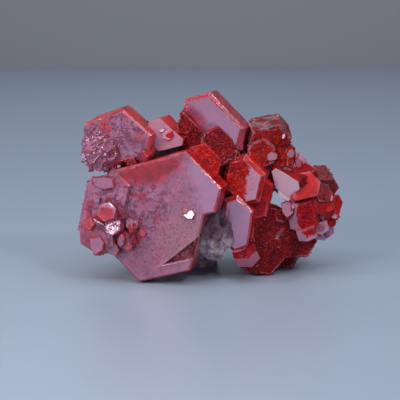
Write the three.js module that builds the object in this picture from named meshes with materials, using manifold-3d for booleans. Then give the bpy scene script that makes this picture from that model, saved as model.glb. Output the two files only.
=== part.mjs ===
// Vanadinite on matrix: thick six-sided plates of red vanadinite, grown through one another
// on a small piece of pale, dark-stained rock. Millimetres, +Z up, +X along the longest side.
//
// Every crystal is a hexagonal plate. Its front basal face is centred at `at`; `turn` swings that
// face to the right, `lean` tips it upwards and `roll` spins it about its own normal. `reach` holds
// the distances from that centre to the six prism faces, from the right one anticlockwise, and the
// body runs back from the face by `thick`. All angles are in degrees.

import * as THREE from 'three';
import { mergeVertices } from 'three/addons/utils/BufferGeometryUtils.js';
import Module from 'manifold-3d';

const wasm = await Module();
wasm.setup();

// Driving dimensions.
const GAP = 0.3; // clearance left between neighbouring pieces
const PLATE = 4.0; // usual thickness of the large plates
const THIN = 2.8; // usual thickness of the smaller plates
const CHIP = 1.4; // thickness of the little crystals that sit on others
const EDGE = 0.25; // width of the narrow pyramid facets round a basal face
const EDGE_SHARE = 0.15; // most that such a facet takes of the shortest side
const EDGED_SIDE = 1.6; // crystals with a shorter side than this have no pyramid facets
const FRACTURES = 18; // flat faces on each lump of the rock
const ROCK_FACETS = 3; // fineness of the rock's surface
const ROCK_RIPPLE = 0.03; // unevenness of the rock's surface, as a share of its size
const FRACTURE_DEPTH = 0.9; // nearest that a fracture face comes to a lump's centre, as a share
const FOOT = 0; // height of the surface that the piece stands on
const GROUND = 100; // size of the block below that surface
const WELD = 1e-5; // corners nearer than this are one
const DIRECTION = { turn: -14, lean: 2 }; // the large plates grew parallel to one another
const ROLL = -14; // spin of those plates about their shared normal

const FINISH = {
  plate: { color: 0x8e2436, roughness: 0.28, metalness: 0.0 },
  orange: { color: 0xa8321c, roughness: 0.35, metalness: 0.0 },
  dark: { color: 0x5e1016, roughness: 0.4, metalness: 0.0 },
  rock: { color: 0xb9b0b4, roughness: 0.9, metalness: 0.0 },
};

// ---------------------------------------------------------------- solids

/** A closed geometry as a manifold solid, with its shared vertices merged. */
function solidOf(geometry) {
  const bare = geometry.index ? geometry.toNonIndexed() : geometry.clone();
  bare.deleteAttribute('normal');
  bare.deleteAttribute('uv');
  const merged = mergeVertices(bare, WELD);
  return new wasm.Manifold(
    new wasm.Mesh({
      numProp: 3,
      vertProperties: new Float32Array(merged.attributes.position.array),
      triVerts: new Uint32Array(merged.index.array),
    }),
  );
}

/** The geometry of a manifold solid. */
function geometryOf(solid) {
  const { vertProperties, triVerts } = solid.getMesh();
  const geometry = new THREE.BufferGeometry();
  geometry.setAttribute('position', new THREE.BufferAttribute(vertProperties, 3));
  geometry.setIndex(new THREE.BufferAttribute(triVerts, 1));
  const flat = geometry.toNonIndexed();
  flat.computeVertexNormals();
  return flat;
}

/** All the solids of a list joined in one. */
function joined(solids) {
  return solids.reduce((whole, piece) => whole.add(piece));
}

/** The largest of the separate bodies of a solid. */
function largestBody(solid) {
  return solid.decompose().reduce((best, body) => (body.volume() > best.volume() ? body : best));
}

// -------------------------------------------------------------- crystals

/** The part of a polygon on the near side of the line at `distance` along `angle`. */
function clipped(points, angle, distance) {
  const normal = new THREE.Vector2(Math.cos(angle), Math.sin(angle));
  const kept = [];
  points.forEach((point, i) => {
    const next = points[(i + 1) % points.length];
    const here = point.dot(normal) - distance;
    const there = next.dot(normal) - distance;
    if (here <= 0) {
      kept.push(point);
    }
    if (here < 0 !== there < 0) {
      kept.push(point.clone().lerp(next, here / (here - there)));
    }
  });
  return kept;
}

/** The six-sided outline of a crystal, as a shape. */
function outlineOf(reach, roll) {
  const far = 4 * Math.max(...reach);
  const square = [
    new THREE.Vector2(far, far),
    new THREE.Vector2(-far, far),
    new THREE.Vector2(-far, -far),
    new THREE.Vector2(far, -far),
  ];
  const start = THREE.MathUtils.degToRad(roll);
  let points = square;
  reach.forEach((distance, side) => {
    points = clipped(points, start + (side * Math.PI) / 3, distance);
  });
  return new THREE.Shape(points);
}

/** The matrix that sets a crystal in place: right along its face, up its face, out of its face. */
function placeOf({ at, turn, lean }) {
  const t = THREE.MathUtils.degToRad(turn);
  const l = THREE.MathUtils.degToRad(lean);
  const out = new THREE.Vector3(Math.sin(t) * Math.cos(l), -Math.cos(t) * Math.cos(l), Math.sin(l));
  const right = new THREE.Vector3(Math.cos(t), Math.sin(t), 0);
  const up = new THREE.Vector3().crossVectors(out, right);
  return new THREE.Matrix4().makeBasis(right, up, out).setPosition(...at);
}

/** The length of the shortest side of an outline. */
function shortestSide(shape) {
  const points = shape.getPoints();
  return Math.min(...points.map((point, i) => point.distanceTo(points[(i + 1) % points.length])));
}

/** One hexagonal crystal, or its socket when `grow` makes it larger on every side. */
function crystal(spec, grow = 0) {
  const { reach, thick, roll } = spec;
  const shape = outlineOf(reach.map((distance) => distance + grow), roll);
  const side = shortestSide(shape);
  const edge = side > EDGED_SIDE ? Math.min(EDGE, EDGE_SHARE * side) : 0;
  const geometry = new THREE.ExtrudeGeometry(shape, {
    depth: thick + 2 * grow - 2 * edge,
    bevelEnabled: edge > 0,
    bevelSegments: 1,
    bevelThickness: edge,
    bevelSize: edge,
    bevelOffset: -edge,
  });
  geometry.translate(0, 0, edge + grow - (thick + 2 * grow));
  geometry.applyMatrix4(placeOf(spec));
  return solidOf(geometry);
}

/** A plate that lies parallel to the large ones. */
function plate(at, reach, thick = PLATE, roll = ROLL) {
  return { at, reach, thick, roll, ...DIRECTION };
}

/** A crystal that grew in a direction of its own. */
function stray(at, [turn, lean, roll], reach, thick = THIN) {
  return { at, turn, lean, roll, reach, thick };
}

/** A crystal with six equal prism faces. */
function even(at, angles, radius, thick = THIN) {
  return stray(at, angles, Array(6).fill(radius), thick);
}

/** Small plates that overlap like scales on the front of a ball. */
function rosette(centre, ball, count, radius) {
  return Array.from({ length: count }, (_, scale) => {
    const lean = 90 - (130 * (scale + 0.5)) / count;
    const turn = ((scale * 137.5) % 200) - 130;
    const { x, y, z } = new THREE.Vector3().setFromMatrixColumn(placeOf({ at: centre, turn, lean }), 2);
    const at = [centre[0] + ball * x, centre[1] + ball * y, centre[2] + ball * z];
    return even(at, [turn, lean, 25 * scale], radius, ball);
  });
}

// Crystals in the order in which they grew: each one stops short of those before it.
const CRYSTALS = [
  {
    name: 'large_left_plate',
    finish: 'plate',
    parts: [
      plate([-8.7, -6.5, 9.3], [7.7, 9.2, 7.4, 6.6, 7.3, 8.5]),
      plate([-3.3, -7.68, 13.9], [4.8, 3.4, 4.6, 3.4, 3.1, 4.4], 4.2),
      stray([-14.5, -5.7, 10.3], [-16, 2, -12], [3.0, 5.1, 4.4, 3.3, 5.0, 5.6], PLATE),
      stray([-15.7, -6.8, 6.6], [-26, 2, 6], [2.6, 2.2, 2.6, 2.6, 2.1, 2.4]),
      even([-13.2, -7.9, 8.4], [-20, 22, 10], 1.1, CHIP),
      even([-14.0, -7.6, 10.4], [-12, 30, -8], 1.2, CHIP),
      even([-11.8, -7.4, 6.4], [-30, 8, 20], 1.1, CHIP),
      even([-10.6, -7.2, 8.6], [-6, 14, 0], 0.8, CHIP),
    ],
  },
  {
    name: 'lower_middle_plate',
    finish: 'plate',
    parts: [plate([3.9, -5.0, 8.2], [1.8, 2.6, 3.4, 2.2, 3.4, 3.5], PLATE, -8)],
  },
  {
    name: 'top_plate',
    finish: 'plate',
    parts: [plate([0.4, -2.0, 21.9], [4.6, 2.6, 4.0, 4.6, 4.2, 4.6], 4.4)],
  },
  {
    name: 'upper_left_plate',
    finish: 'plate',
    parts: [
      plate([-12.6, -3.5, 19.8], [4.6, 3.5, 3.5, 5.1, 4.4, 3.4], 4.4, -10),
      stray([-12.7, -2.8, 20.0], [-14, -5, -10], [4.3, 3.1, 3.2, 4.4, 4.2, 3.0], PLATE),
      ...rosette([-15.1, -2.9, 17.5], 2.3, 14, 1.25),
    ],
  },
  {
    name: 'centre_plate',
    finish: 'orange',
    parts: [plate([4.7, -4.3, 14.2], [2.4, 2.2, 2.9, 2.6, 2.9, 3.3], 4.0, -12)],
  },
  {
    name: 'small_upper_plate',
    finish: 'orange',
    parts: [
      plate([-6.5, -2.6, 20.3], [2.7, 1.2, 2.2, 2.3, 1.9, 1.9], 4.0),
      even([-5.8, -3.0, 20.2], [-6, 26, 10], 0.7, CHIP),
    ],
  },
  {
    name: 'upper_right_block',
    finish: 'dark',
    parts: [
      stray([8.2, -1.6, 18.7], [2, -16, -18], [2.8, 3.0, 2.3, 2.9, 2.9, 2.8], 4.8),
      even([7.2, -2.4, 17.4], [10, 8, -4], 2.0),
      even([9.5, -1.6, 16.6], [-30, 8, 2], 1.8),
    ],
  },
  {
    name: 'right_wedge_crystal',
    finish: 'orange',
    parts: [stray([13.2, -3.4, 13.0], [14, 24, 40], [1.7, 1.6, 1.1, 2.2, 1.3, 1.6])],
  },
  {
    name: 'right_block',
    finish: 'orange',
    parts: [
      stray([12.6, -1.9, 11.1], [-66, 74, -14], [2.0, 1.9, 1.9, 2.0, 2.0, 2.0], 4.3),
      even([13.4, -3.0, 7.2], [-60, 70, -14], 1.3, 1.6),
      even([11.4, -2.6, 11.6], [-30, 20, 0], 1.1, 1.8),
    ],
  },
  {
    name: 'right_leaning_plate',
    finish: 'dark',
    parts: [
      stray([10.4, -3.6, 13.6], [-38, -12, 6], [2.2, 1.3, 2.4, 1.9, 1.7, 1.9], 4.6),
      even([10.7, -3.0, 12.4], [-20, 10, 12], 1.3, 2.2),
    ],
  },
  {
    name: 'far_right_upper_block',
    finish: 'dark',
    parts: [
      stray([16.3, -0.6, 12.6], [8, -13, -30], [2.0, 1.6, 1.0, 1.7, 1.8, 1.6], 4.6),
      even([15.8, -1.3, 12.0], [24, 30, 18], 1.3),
    ],
  },
  {
    name: 'far_right_lower_block',
    finish: 'orange',
    parts: [
      stray([16.0, -1.8, 10.2], [20, 10, 10], [1.7, 2.0, 1.9, 1.7, 1.5, 1.4], 3.6),
      stray([17.9, -0.2, 9.8], [42, 8, -30], [1.3, 1.4, 1.3, 1.5, 1.6, 1.9], 3.4),
      stray([16.5, -0.9, 8.3], [10, -10, 20], [1.5, 1.3, 1.6, 1.6, 1.2, 1.5]),
    ],
  },
  {
    name: 'lower_right_plate',
    finish: 'dark',
    parts: [
      stray([7.9, -2.5, 5.0], [14, 4, -42], [4.0, 3.8, 5.0, 3.6, 3.8, 4.8], 4.2),
      stray([12.6, -1.3, 5.1], [20, 4, -33], [2.9, 3.2, 2.9, 3.0, 3.0, 2.8], 4.2),
      even([10.1, -2.4, 8.6], [10, 20, 12], 0.8),
    ],
  },
  {
    name: 'foot_crystal',
    finish: 'orange',
    parts: [stray([4.7, -5.6, 4.3], [-30, 52, -20], [1.5, 1.7, 1.8, 1.5, 1.6, 1.3], 1.8)],
  },
  {
    name: 'orange_plate',
    finish: 'orange',
    parts: [stray([-0.9, -4.4, 16.4], [-10, 2, -14], [2.3, 1.8, 2.3, 2.2, 1.6, 2.8], 3.4)],
  },
  {
    name: 'centre_back_plate',
    finish: 'orange',
    parts: [stray([6.6, -2.9, 11.6], [-8, 0, -12], [1.9, 2.6, 2.6, 1.4, 2.9, 3.2], 4.0)],
  },
  {
    name: 'dark_middle_crystals',
    finish: 'dark',
    parts: [
      stray([1.3, -3.4, 18.8], [4, 12, -8], [2.7, 2.1, 2.5, 2.5, 2.6, 2.7], 3.2),
      plate([-2.5, -2.6, 20.4], [2.0, 1.2, 3.0, 2.2, 2.0, 2.6], 3.4),
    ],
  },
  {
    name: 'right_edge_crystals',
    finish: 'orange',
    parts: [
      even([10.7, -1.6, 17.2], [10, 24, 4], 1.0, 1.8),
      even([11.3, -0.4, 18.0], [16, 40, 30], 0.8, 1.8),
      even([11.6, -1.2, 16.6], [-8, 30, 16], 1.2, 2.2),
      even([12.5, -0.8, 15.7], [14, 16, 0], 1.3, 2.6),
      even([13.7, 0.0, 15.0], [24, 44, 12], 1.1, 2.6),
    ],
  },
  {
    name: 'lower_right_edge_crystals',
    finish: 'plate',
    parts: [
      even([15.6, -1.7, 6.9], [-4, 24, 10], 1.1, 2.4),
      even([16.0, -1.0, 5.9], [12, -10, 20], 1.2, 2.4),
      even([16.9, -0.4, 6.2], [34, 6, 0], 1.1, 2.4),
    ],
  },
  {
    name: 'back_foot_crystal',
    finish: 'dark',
    parts: [stray([11.4, 1.8, 2.6], [16, 8, -33], [2.1, 2.4, 2.8, 2.8, 2.4, 2.6], 4.6)],
  },
  {
    name: 'back_left_plate',
    finish: 'plate',
    parts: [
      stray([-9.6, 6.6, 12.2], [196, 6, 12], [4.6, 4.2, 5.0, 4.4, 5.2, 4.6], PLATE),
      stray([-13.0, 5.2, 15.6], [220, 10, 0], [2.4, 2.8, 2.4, 2.6, 2.6, 2.4]),
    ],
  },
  {
    name: 'back_top_plate',
    finish: 'plate',
    parts: [stray([-1.6, 6.4, 18.2], [172, 22, -8], [3.6, 3.2, 3.8, 3.4, 4.0, 3.6], 4.0)],
  },
  {
    name: 'back_right_plate',
    finish: 'dark',
    parts: [
      stray([5.0, 7.2, 13.2], [160, 8, 18], [2.8, 3.4, 2.8, 3.2, 2.8, 3.2], 4.0),
      even([7.2, 5.6, 16.4], [146, 30, 0], 2.2),
    ],
  },
  {
    name: 'back_low_plate',
    finish: 'orange',
    parts: [stray([-4.6, 7.2, 4.6], [188, -4, 26], [3.0, 2.8, 3.2, 3.0, 3.4, 2.6], 3.6)],
  },
  {
    name: 'back_lower_right_plate',
    finish: 'plate',
    parts: [stray([6.0, 6.4, 5.4], [166, -8, 8], [2.6, 3.0, 2.6, 3.0, 2.6, 3.0], 3.6)],
  },
  {
    name: 'left_side_plate',
    finish: 'plate',
    parts: [
      stray([-13.6, 2.4, 12.6], [-84, 8, 14], [2.6, 3.2, 2.8, 2.8, 3.2, 2.6], 3.6),
      even([-12.4, 3.4, 8.4], [-112, -6, 0], 2.2),
    ],
  },
  {
    name: 'back_upper_left_crystal',
    finish: 'orange',
    parts: [even([-7.0, 5.4, 18.8], [196, 34, 6], 2.4, 3.2)],
  },
  {
    name: 'back_far_right_block',
    finish: 'dark',
    parts: [
      stray([13.2, 5.2, 12.8], [150, 12, 8], [2.6, 2.4, 2.6, 2.6, 2.4, 2.4], 3.8),
      even([15.2, 3.4, 8.8], [120, 4, 20], 2.2, 3.4),
    ],
  },
];

// ----------------------------------------------------------------- rock

/** The direction of one of the flat fracture faces of the rock, spread evenly round a ball. */
function fractureDirection(face) {
  const height = 1 - (2 * face + 1) / FRACTURES;
  const angle = face * Math.PI * (3 - Math.sqrt(5));
  const width = Math.sqrt(1 - height * height);
  return new THREE.Vector3(width * Math.cos(angle), width * Math.sin(angle), height);
}

/** A closed lump of broken rock: a ball cut back by flat fracture faces and stretched to `size`. */
function lump({ at, size }) {
  const geometry = new THREE.IcosahedronGeometry(1, ROCK_FACETS);
  const position = geometry.attributes.position;
  const point = new THREE.Vector3();
  for (let i = 0; i < position.count; i += 1) {
    point.fromBufferAttribute(position, i);
    let radius = 1;
    for (let face = 0; face < FRACTURES; face += 1) {
      const depth = FRACTURE_DEPTH + (1 - FRACTURE_DEPTH) * Math.sin(face * at[0] + size[0]);
      const facing = point.dot(fractureDirection(face));
      radius = facing > 0 ? Math.min(radius, depth / facing) : radius;
    }
    const waves = Math.sin(5 * point.x + at[0]) * Math.sin(6 * point.z) * Math.cos(5 * point.y);
    point.multiplyScalar(radius * (1 + ROCK_RIPPLE * waves)).multiply(new THREE.Vector3(...size));
    position.setXYZ(i, ...point.toArray());
  }
  geometry.translate(...at);
  return solidOf(geometry);
}

const ROCK = [
  { at: [-3.4, 2.0, 10.4], size: [10.2, 5.4, 10.0] },
  { at: [0.6, -1.8, 6.2], size: [3.2, 5.2, 4.6] },
  { at: [5.2, 2.6, 16.2], size: [7.6, 4.2, 3.8] },
  { at: [13.0, 1.6, 10.8], size: [2.8, 3.4, 4.8] },
  { at: [7.4, 3.2, 4.8], size: [4.8, 3.4, 3.8] },
  { at: [-2.6, 4.0, 2.2], size: [4.6, 3.8, 3.8] },
];

/** Everything below the surface that the piece stands on. */
function ground() {
  const geometry = new THREE.BoxGeometry(GROUND, GROUND, GROUND);
  geometry.translate(0, 0, FOOT - GROUND / 2);
  return solidOf(geometry);
}

// ------------------------------------------------------------- assembly

/** One named mesh with the finish of its piece. */
function meshOf(name, solid, finish) {
  const mesh = new THREE.Mesh(geometryOf(solid), new THREE.MeshStandardMaterial(FINISH[finish]));
  mesh.name = name;
  return mesh;
}

/** The whole specimen, with its box centred over the origin and standing on z = 0. */
function specimen() {
  const group = new THREE.Group();
  const floor = ground();
  let taken = floor;
  for (const { name, finish, parts } of CRYSTALS) {
    const body = largestBody(joined(parts.map((spec) => crystal(spec))).subtract(taken));
    group.add(meshOf(name, body, finish));
    taken = taken.add(joined(parts.map((spec) => crystal(spec, GAP))));
  }
  const rock = largestBody(joined(ROCK.map(lump)).subtract(taken));
  group.add(meshOf('matrix_rock', rock, 'rock'));
  const box = new THREE.Box3().setFromObject(group);
  const middle = box.getCenter(new THREE.Vector3());
  group.position.set(-middle.x, -middle.y, -box.min.z);
  group.updateMatrixWorld(true);
  return group;
}

export default specimen();
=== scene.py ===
"""Vanadinite on matrix: thick six-sided plates of red vanadinite on a small piece of pale rock.

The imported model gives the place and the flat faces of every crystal. This script gives each of them
its finished surface: growth islands with dark seams, pits, a sparkling crust of tiny crystals, worn
edges and small crystals that sit on the large ones. Sizes inside the script are millimetres.
"""

import itertools
import logging
import math
from dataclasses import dataclass, fields, replace
from enum import Enum
from typing import Any, Sequence

import bmesh
import bpy
import numpy as np
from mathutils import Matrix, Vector
from mathutils.bvhtree import BVHTree
from mathutils.geometry import delaunay_2d_cdt

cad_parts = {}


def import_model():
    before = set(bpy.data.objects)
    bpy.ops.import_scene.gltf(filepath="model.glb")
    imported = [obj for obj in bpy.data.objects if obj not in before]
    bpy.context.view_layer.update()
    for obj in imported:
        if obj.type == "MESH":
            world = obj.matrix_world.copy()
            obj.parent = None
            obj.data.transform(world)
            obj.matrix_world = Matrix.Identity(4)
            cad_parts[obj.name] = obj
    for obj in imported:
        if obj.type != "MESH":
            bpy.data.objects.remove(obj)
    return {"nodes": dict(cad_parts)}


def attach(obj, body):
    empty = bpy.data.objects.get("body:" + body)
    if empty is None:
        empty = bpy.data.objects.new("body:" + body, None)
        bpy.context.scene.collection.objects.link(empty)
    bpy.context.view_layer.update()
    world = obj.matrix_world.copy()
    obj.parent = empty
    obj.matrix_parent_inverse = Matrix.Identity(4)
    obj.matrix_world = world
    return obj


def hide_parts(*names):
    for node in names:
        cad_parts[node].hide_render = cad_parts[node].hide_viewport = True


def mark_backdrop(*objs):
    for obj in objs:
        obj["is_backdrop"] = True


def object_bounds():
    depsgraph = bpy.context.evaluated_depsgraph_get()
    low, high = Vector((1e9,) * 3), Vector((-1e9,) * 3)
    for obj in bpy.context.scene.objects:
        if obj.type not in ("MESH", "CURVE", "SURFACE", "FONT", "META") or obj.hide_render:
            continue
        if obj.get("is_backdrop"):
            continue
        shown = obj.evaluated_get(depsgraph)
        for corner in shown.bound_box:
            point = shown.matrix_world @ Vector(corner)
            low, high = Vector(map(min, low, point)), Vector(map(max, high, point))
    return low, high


LOG = logging.getLogger("vanadinite")

MM = 0.001  # one millimetre in the scene's metres

GAP = 0.3  # clearance between neighbouring CAD pieces, closed here
CLOSE = 0.34  # how far a face that meets a neighbour moves to close it
CLOSE_MOST = 0.6  # furthest that a corner moves while a gap is closed
KEEP = 8.0  # how much more an open face counts than a closing one, where a corner cannot suit both
STEADY = 0.05  # a corner isn't moved in a direction that its faces fix more weakly than this share
TOUCH = 0.08  # a face this near to the clearance meets its neighbour
WELD = 0.002  # corners nearer than this are one
FLAT = math.cos(math.radians(0.6))  # faces whose normals agree this well are one facet
BASAL = math.cos(math.radians(7))  # a facet this near to a growth axis is a basal face
SHARP = math.radians(32)  # edges that turn more than this are drawn sharp
MEETS = 0.3  # a facet meets a neighbour when this share of it is near one
FAR = 99.0  # further than anything on the specimen
TINY = 1e-12  # keeps a division from failing

# A facet counts as a front one when the y of its normal is below these: for the spacing of its
# mesh, for its look, and for a recess in it.
FINE_FRONT, LOOK_FRONT, RECESS_FRONT = -0.35, -0.2, -0.5

FINE = 0.11  # spacing of the mesh on faces that are seen from the front
PLAIN = 0.19  # spacing on other open faces
HIDDEN = 0.6  # spacing on faces that meet a neighbour
ROCK_VOXEL = 0.17  # spacing of the rock's mesh

Colour = tuple[float, float, float, float]


# ---------------------------------------------------------------------------------- small tools


def linear(code: int) -> Colour:
    """Turns an sRGB hex colour to the renderer's linear values.

    Args:
        code: the colour, such as 0x8E2436.

    Returns:
        Red, green, blue and an alpha of one.
    """
    shares = [(code >> shift & 255) / 255 for shift in (16, 8, 0)]
    return (*[s / 12.92 if s <= 0.04045 else ((s + 0.055) / 1.055) ** 2.4 for s in shares], 1.0)


def add(tree: bpy.types.NodeTree, kind: str, inputs: dict | None = None, **settings: Any) -> bpy.types.Node:
    """Adds a node to a tree, with its settings, values and links.

    Args:
        tree: the node tree.
        kind: the node's type name.
        inputs: for each input, by name or number, a value or the output socket that feeds it.
        settings: the node's own properties.

    Returns:
        The new node.
    """
    node = tree.nodes.new(kind)
    for name, value in settings.items():
        setattr(node, name, value)
    for key, value in (inputs or {}).items():
        if isinstance(value, bpy.types.NodeSocket):
            tree.links.new(value, node.inputs[key])
        else:
            node.inputs[key].default_value = value
    return node


def mixed(tree: bpy.types.NodeTree, share: Any, first: Any, second: Any, blend: str = "MIX") -> Any:
    """The output of a node that goes from the first colour to the second as `share` goes from 0 to 1."""
    node = add(tree, "ShaderNodeMix", {0: share, 6: first, 7: second}, data_type="RGBA", blend_type=blend)
    return node.outputs[2]


def worked(tree: bpy.types.NodeTree, operation: str, first: Any, second: Any) -> Any:
    """The output of a node that does a sum with two numbers."""
    return add(tree, "ShaderNodeMath", {0: first, 1: second}, operation=operation).outputs[0]


def spread(tree: bpy.types.NodeTree, value: Any, start: Sequence[float], end: Sequence[float]) -> Any:
    """The output of a node that maps a value from the range `start` to the range `end`."""
    ranges = {0: value, 1: start[0], 2: start[1], 3: end[0], 4: end[1]}
    return add(tree, "ShaderNodeMapRange", ranges).outputs["Result"]


def blank_material(name: str) -> tuple[bpy.types.Material, bpy.types.NodeTree]:
    """A new material with nothing in its node tree, and the tree."""
    material = bpy.data.materials.new(name)
    material.use_nodes = True
    material.node_tree.nodes.clear()
    return material, material.node_tree


def finish_material(tree: bpy.types.NodeTree, shader: dict) -> None:
    """Ends a material with a principled shader that has these inputs."""
    surface = add(tree, "ShaderNodeBsdfPrincipled", shader).outputs[0]
    add(tree, "ShaderNodeOutputMaterial", {"Surface": surface})


def new_object(name: str, data: bpy.types.ID | None) -> bpy.types.Object:
    """A new object, linked to the scene."""
    made = bpy.data.objects.new(name, data)
    bpy.context.scene.collection.objects.link(made)
    return made


def attributes(tree: bpy.types.NodeTree, names: Sequence[str]) -> dict[str, bpy.types.NodeSocket]:
    """The outputs of nodes that read a mesh's attributes, by name."""
    return {name: add(tree, "ShaderNodeAttribute", attribute_name=name).outputs["Fac"] for name in names}


def grey(tree: bpy.types.NodeTree, value: Any) -> bpy.types.NodeSocket:
    """The output of a node that makes a grey of a number."""
    return add(tree, "ShaderNodeCombineColor", {0: value, 1: value, 2: value}).outputs[0]


def direction(turn: float, lean: float) -> np.ndarray:
    """The unit vector that faces the front, swung right by `turn` and tipped up by `lean` degrees."""
    t, l = math.radians(turn), math.radians(lean)
    return np.array([math.sin(t) * math.cos(l), -math.cos(t) * math.cos(l), math.sin(l)])


def eased(share: np.ndarray) -> np.ndarray:
    """A share from 0 to 1 that sets off and arrives gently."""
    return share * share * (3 - 2 * share)


def ramp(value: np.ndarray, low: float, high: float) -> np.ndarray:
    """A smooth step from 0 where the value is `low` to 1 where it is `high`."""
    return eased(np.clip((value - low) / (high - low), 0, 1))


# --------------------------------------------------------------------------------------- noise


class Pattern:
    """Repeatable patterns in two or three dimensions, for many points at once.

    Every use of a pattern has a seed of its own, so that no two of them line up.
    """

    MIXERS = (73856093, 19349663, 83492791)  # a large prime for each axis
    SEED_MIXER, SEED_START = 2654435761, 97
    SCRAMBLERS = (np.uint64(2246822519), np.uint64(3266489917))
    SHIFTS = (np.uint64(15), np.uint64(13), np.uint64(16))
    MASK = np.uint64(0xFFFFFFFF)
    NEXT_OCTAVE, NEXT_AXIS = 31, 7  # steps from one seed to the next
    STRAY = 0.85  # how far a cell's centre may be from the middle, as a share of the cell
    NONE_YET = 9.0  # cells: further than any centre that counts

    @classmethod
    def chance(cls, cell: np.ndarray, seed: int) -> np.ndarray:
        """A repeatable random number for each whole-numbered cell.

        Args:
            cell: whole numbers, with a cell's coordinates along the last axis.
            seed: which of the endless patterns to take.

        Returns:
            Numbers from 0 to 1.
        """
        first, second, third = cls.SHIFTS
        start = (seed * cls.SEED_MIXER + cls.SEED_START) & int(cls.MASK)
        bits = np.full(cell.shape[:-1], start, np.uint64)
        for axis in range(cell.shape[-1]):
            step = cell[..., axis].astype(np.int64).astype(np.uint64) * np.uint64(cls.MIXERS[axis])
            bits = (bits ^ step) & cls.MASK
            bits = ((bits ^ (bits >> first)) * cls.SCRAMBLERS[0]) & cls.MASK
        bits = ((bits ^ (bits >> second)) * cls.SCRAMBLERS[1]) & cls.MASK
        return (bits ^ (bits >> third)) / 2.0**32

    @classmethod
    def clouds(cls, points: np.ndarray, size: float, seed: int, octaves: int = 1) -> np.ndarray:
        """Soft random hills.

        Args:
            points: where to look, in millimetres.
            size: the width of the widest hills.
            seed: which pattern to take.
            octaves: how many times finer hills are added on top.

        Returns:
            Heights from about -1 to 1.
        """
        total = np.zeros(len(points))
        weight, sum_of_weights = 1.0, 0.0
        for octave in range(octaves):
            place = points / size * 2**octave
            cell = np.floor(place).astype(np.int64)
            share = eased(place - cell)
            for corner in itertools.product((0, 1), repeat=points.shape[1]):
                part = np.prod(np.where(corner, share, 1 - share), axis=1)
                drawn = cls.chance(cell + corner, seed + cls.NEXT_OCTAVE * octave)
                total += weight * part * (2 * drawn - 1)
            sum_of_weights += weight
            weight /= 2
        return total / sum_of_weights

    @classmethod
    def islands(cls, points: np.ndarray, size: float, seed: int) -> tuple[np.ndarray, ...]:
        """Cells round scattered centres.

        Args:
            points: where to look, in millimetres.
            size: the usual width of a cell.
            seed: which pattern to take.

        Returns:
            The distance to the nearest centre, how much further the second one is, the way from the
            nearest centre to the point, and the nearest cell's whole-numbered name.
        """
        place = points / size
        base = np.floor(place).astype(np.int64)
        best, second = np.full(len(points), cls.NONE_YET), np.full(len(points), cls.NONE_YET)
        way = np.zeros_like(place)
        name = np.zeros_like(base)
        for offset in itertools.product((-1, 0, 1), repeat=points.shape[1]):
            cell = base + offset
            seeds = [seed + cls.NEXT_AXIS * axis for axis in range(points.shape[1])]
            jitter = np.stack([cls.chance(cell, each) for each in seeds], axis=1)
            away = place - (cell + 0.5 + cls.STRAY * (jitter - 0.5))
            distance = np.linalg.norm(away, axis=1)
            nearer = distance < best
            second = np.where(nearer, best, np.minimum(second, distance))
            best = np.where(nearer, distance, best)
            way[nearer] = away[nearer]
            name[nearer] = cell[nearer]
        return best * size, (second - best) * size, way * size, name


@dataclass(frozen=True)
class Patches:
    """Soft patches, where random hills of one size are high enough."""

    size: float  # millimetres
    seed: int
    octaves: int
    low: float  # the height of hill where a patch starts
    high: float  # the height where it is full

    def at(self, points: np.ndarray) -> np.ndarray:
        """How much each point belongs to a patch, from 0 to 1."""
        return ramp(Pattern.clouds(points, self.size, self.seed, self.octaves), self.low, self.high)


# --------------------------------------------------------------------------------------- looks


@dataclass(frozen=True)
class Look:
    """How much of each growth feature a face shows, from 0 to 1."""

    lustre_and_painted_sheen: float = 0.0  # clean and mirror-like; also how much painted lilac reflection the colour gets
    islands: float = 0.0  # low growth islands with dark seams between them
    speckle: float = 0.0  # fine pitting
    druse: float = 0.0  # crust of tiny sparkling crystals
    glow: float = 0.0  # orange-red painted where light would pass through, a painted glow
    tan: float = 0.0  # brownish film
    scales: float = 0.0  # small plates that overlap like scales
    shade: float = 0.0  # painted shade: how much darker the colour is painted
    dull: float = 0.0  # rough enough to lose its mirror shine, so that the red shows through


CLEAN = Look(lustre_and_painted_sheen=1.0, speckle=0.08)
ISLANDS = Look(lustre_and_painted_sheen=0.9, islands=1.0, speckle=0.35)
SPECKLED = Look(lustre_and_painted_sheen=0.66, islands=0.15, speckle=1.0)
TAN = Look(lustre_and_painted_sheen=0.75, speckle=0.7, tan=1.0)
CRUST = Look(druse=1.0, glow=0.12)
RED = Look(glow=0.35, druse=0.3, dull=0.3)
GLOWING = Look(glow=1.0, speckle=0.3)
ORANGE_CRUST = Look(glow=0.75, druse=0.85)
DARK = Look(lustre_and_painted_sheen=0.02, speckle=0.4, druse=0.2)
PINK = Look(lustre_and_painted_sheen=0.42, speckle=0.1)
CRIMSON = Look(glow=0.2, druse=0.12, dull=1.0)
PLAIN_PINK = Look(lustre_and_painted_sheen=0.66, speckle=0.7)
SHADED_CRUST = Look(shade=0.6, druse=0.3)
SCALES = Look(lustre_and_painted_sheen=0.55, speckle=0.8, islands=0.3, scales=1.0)


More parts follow.
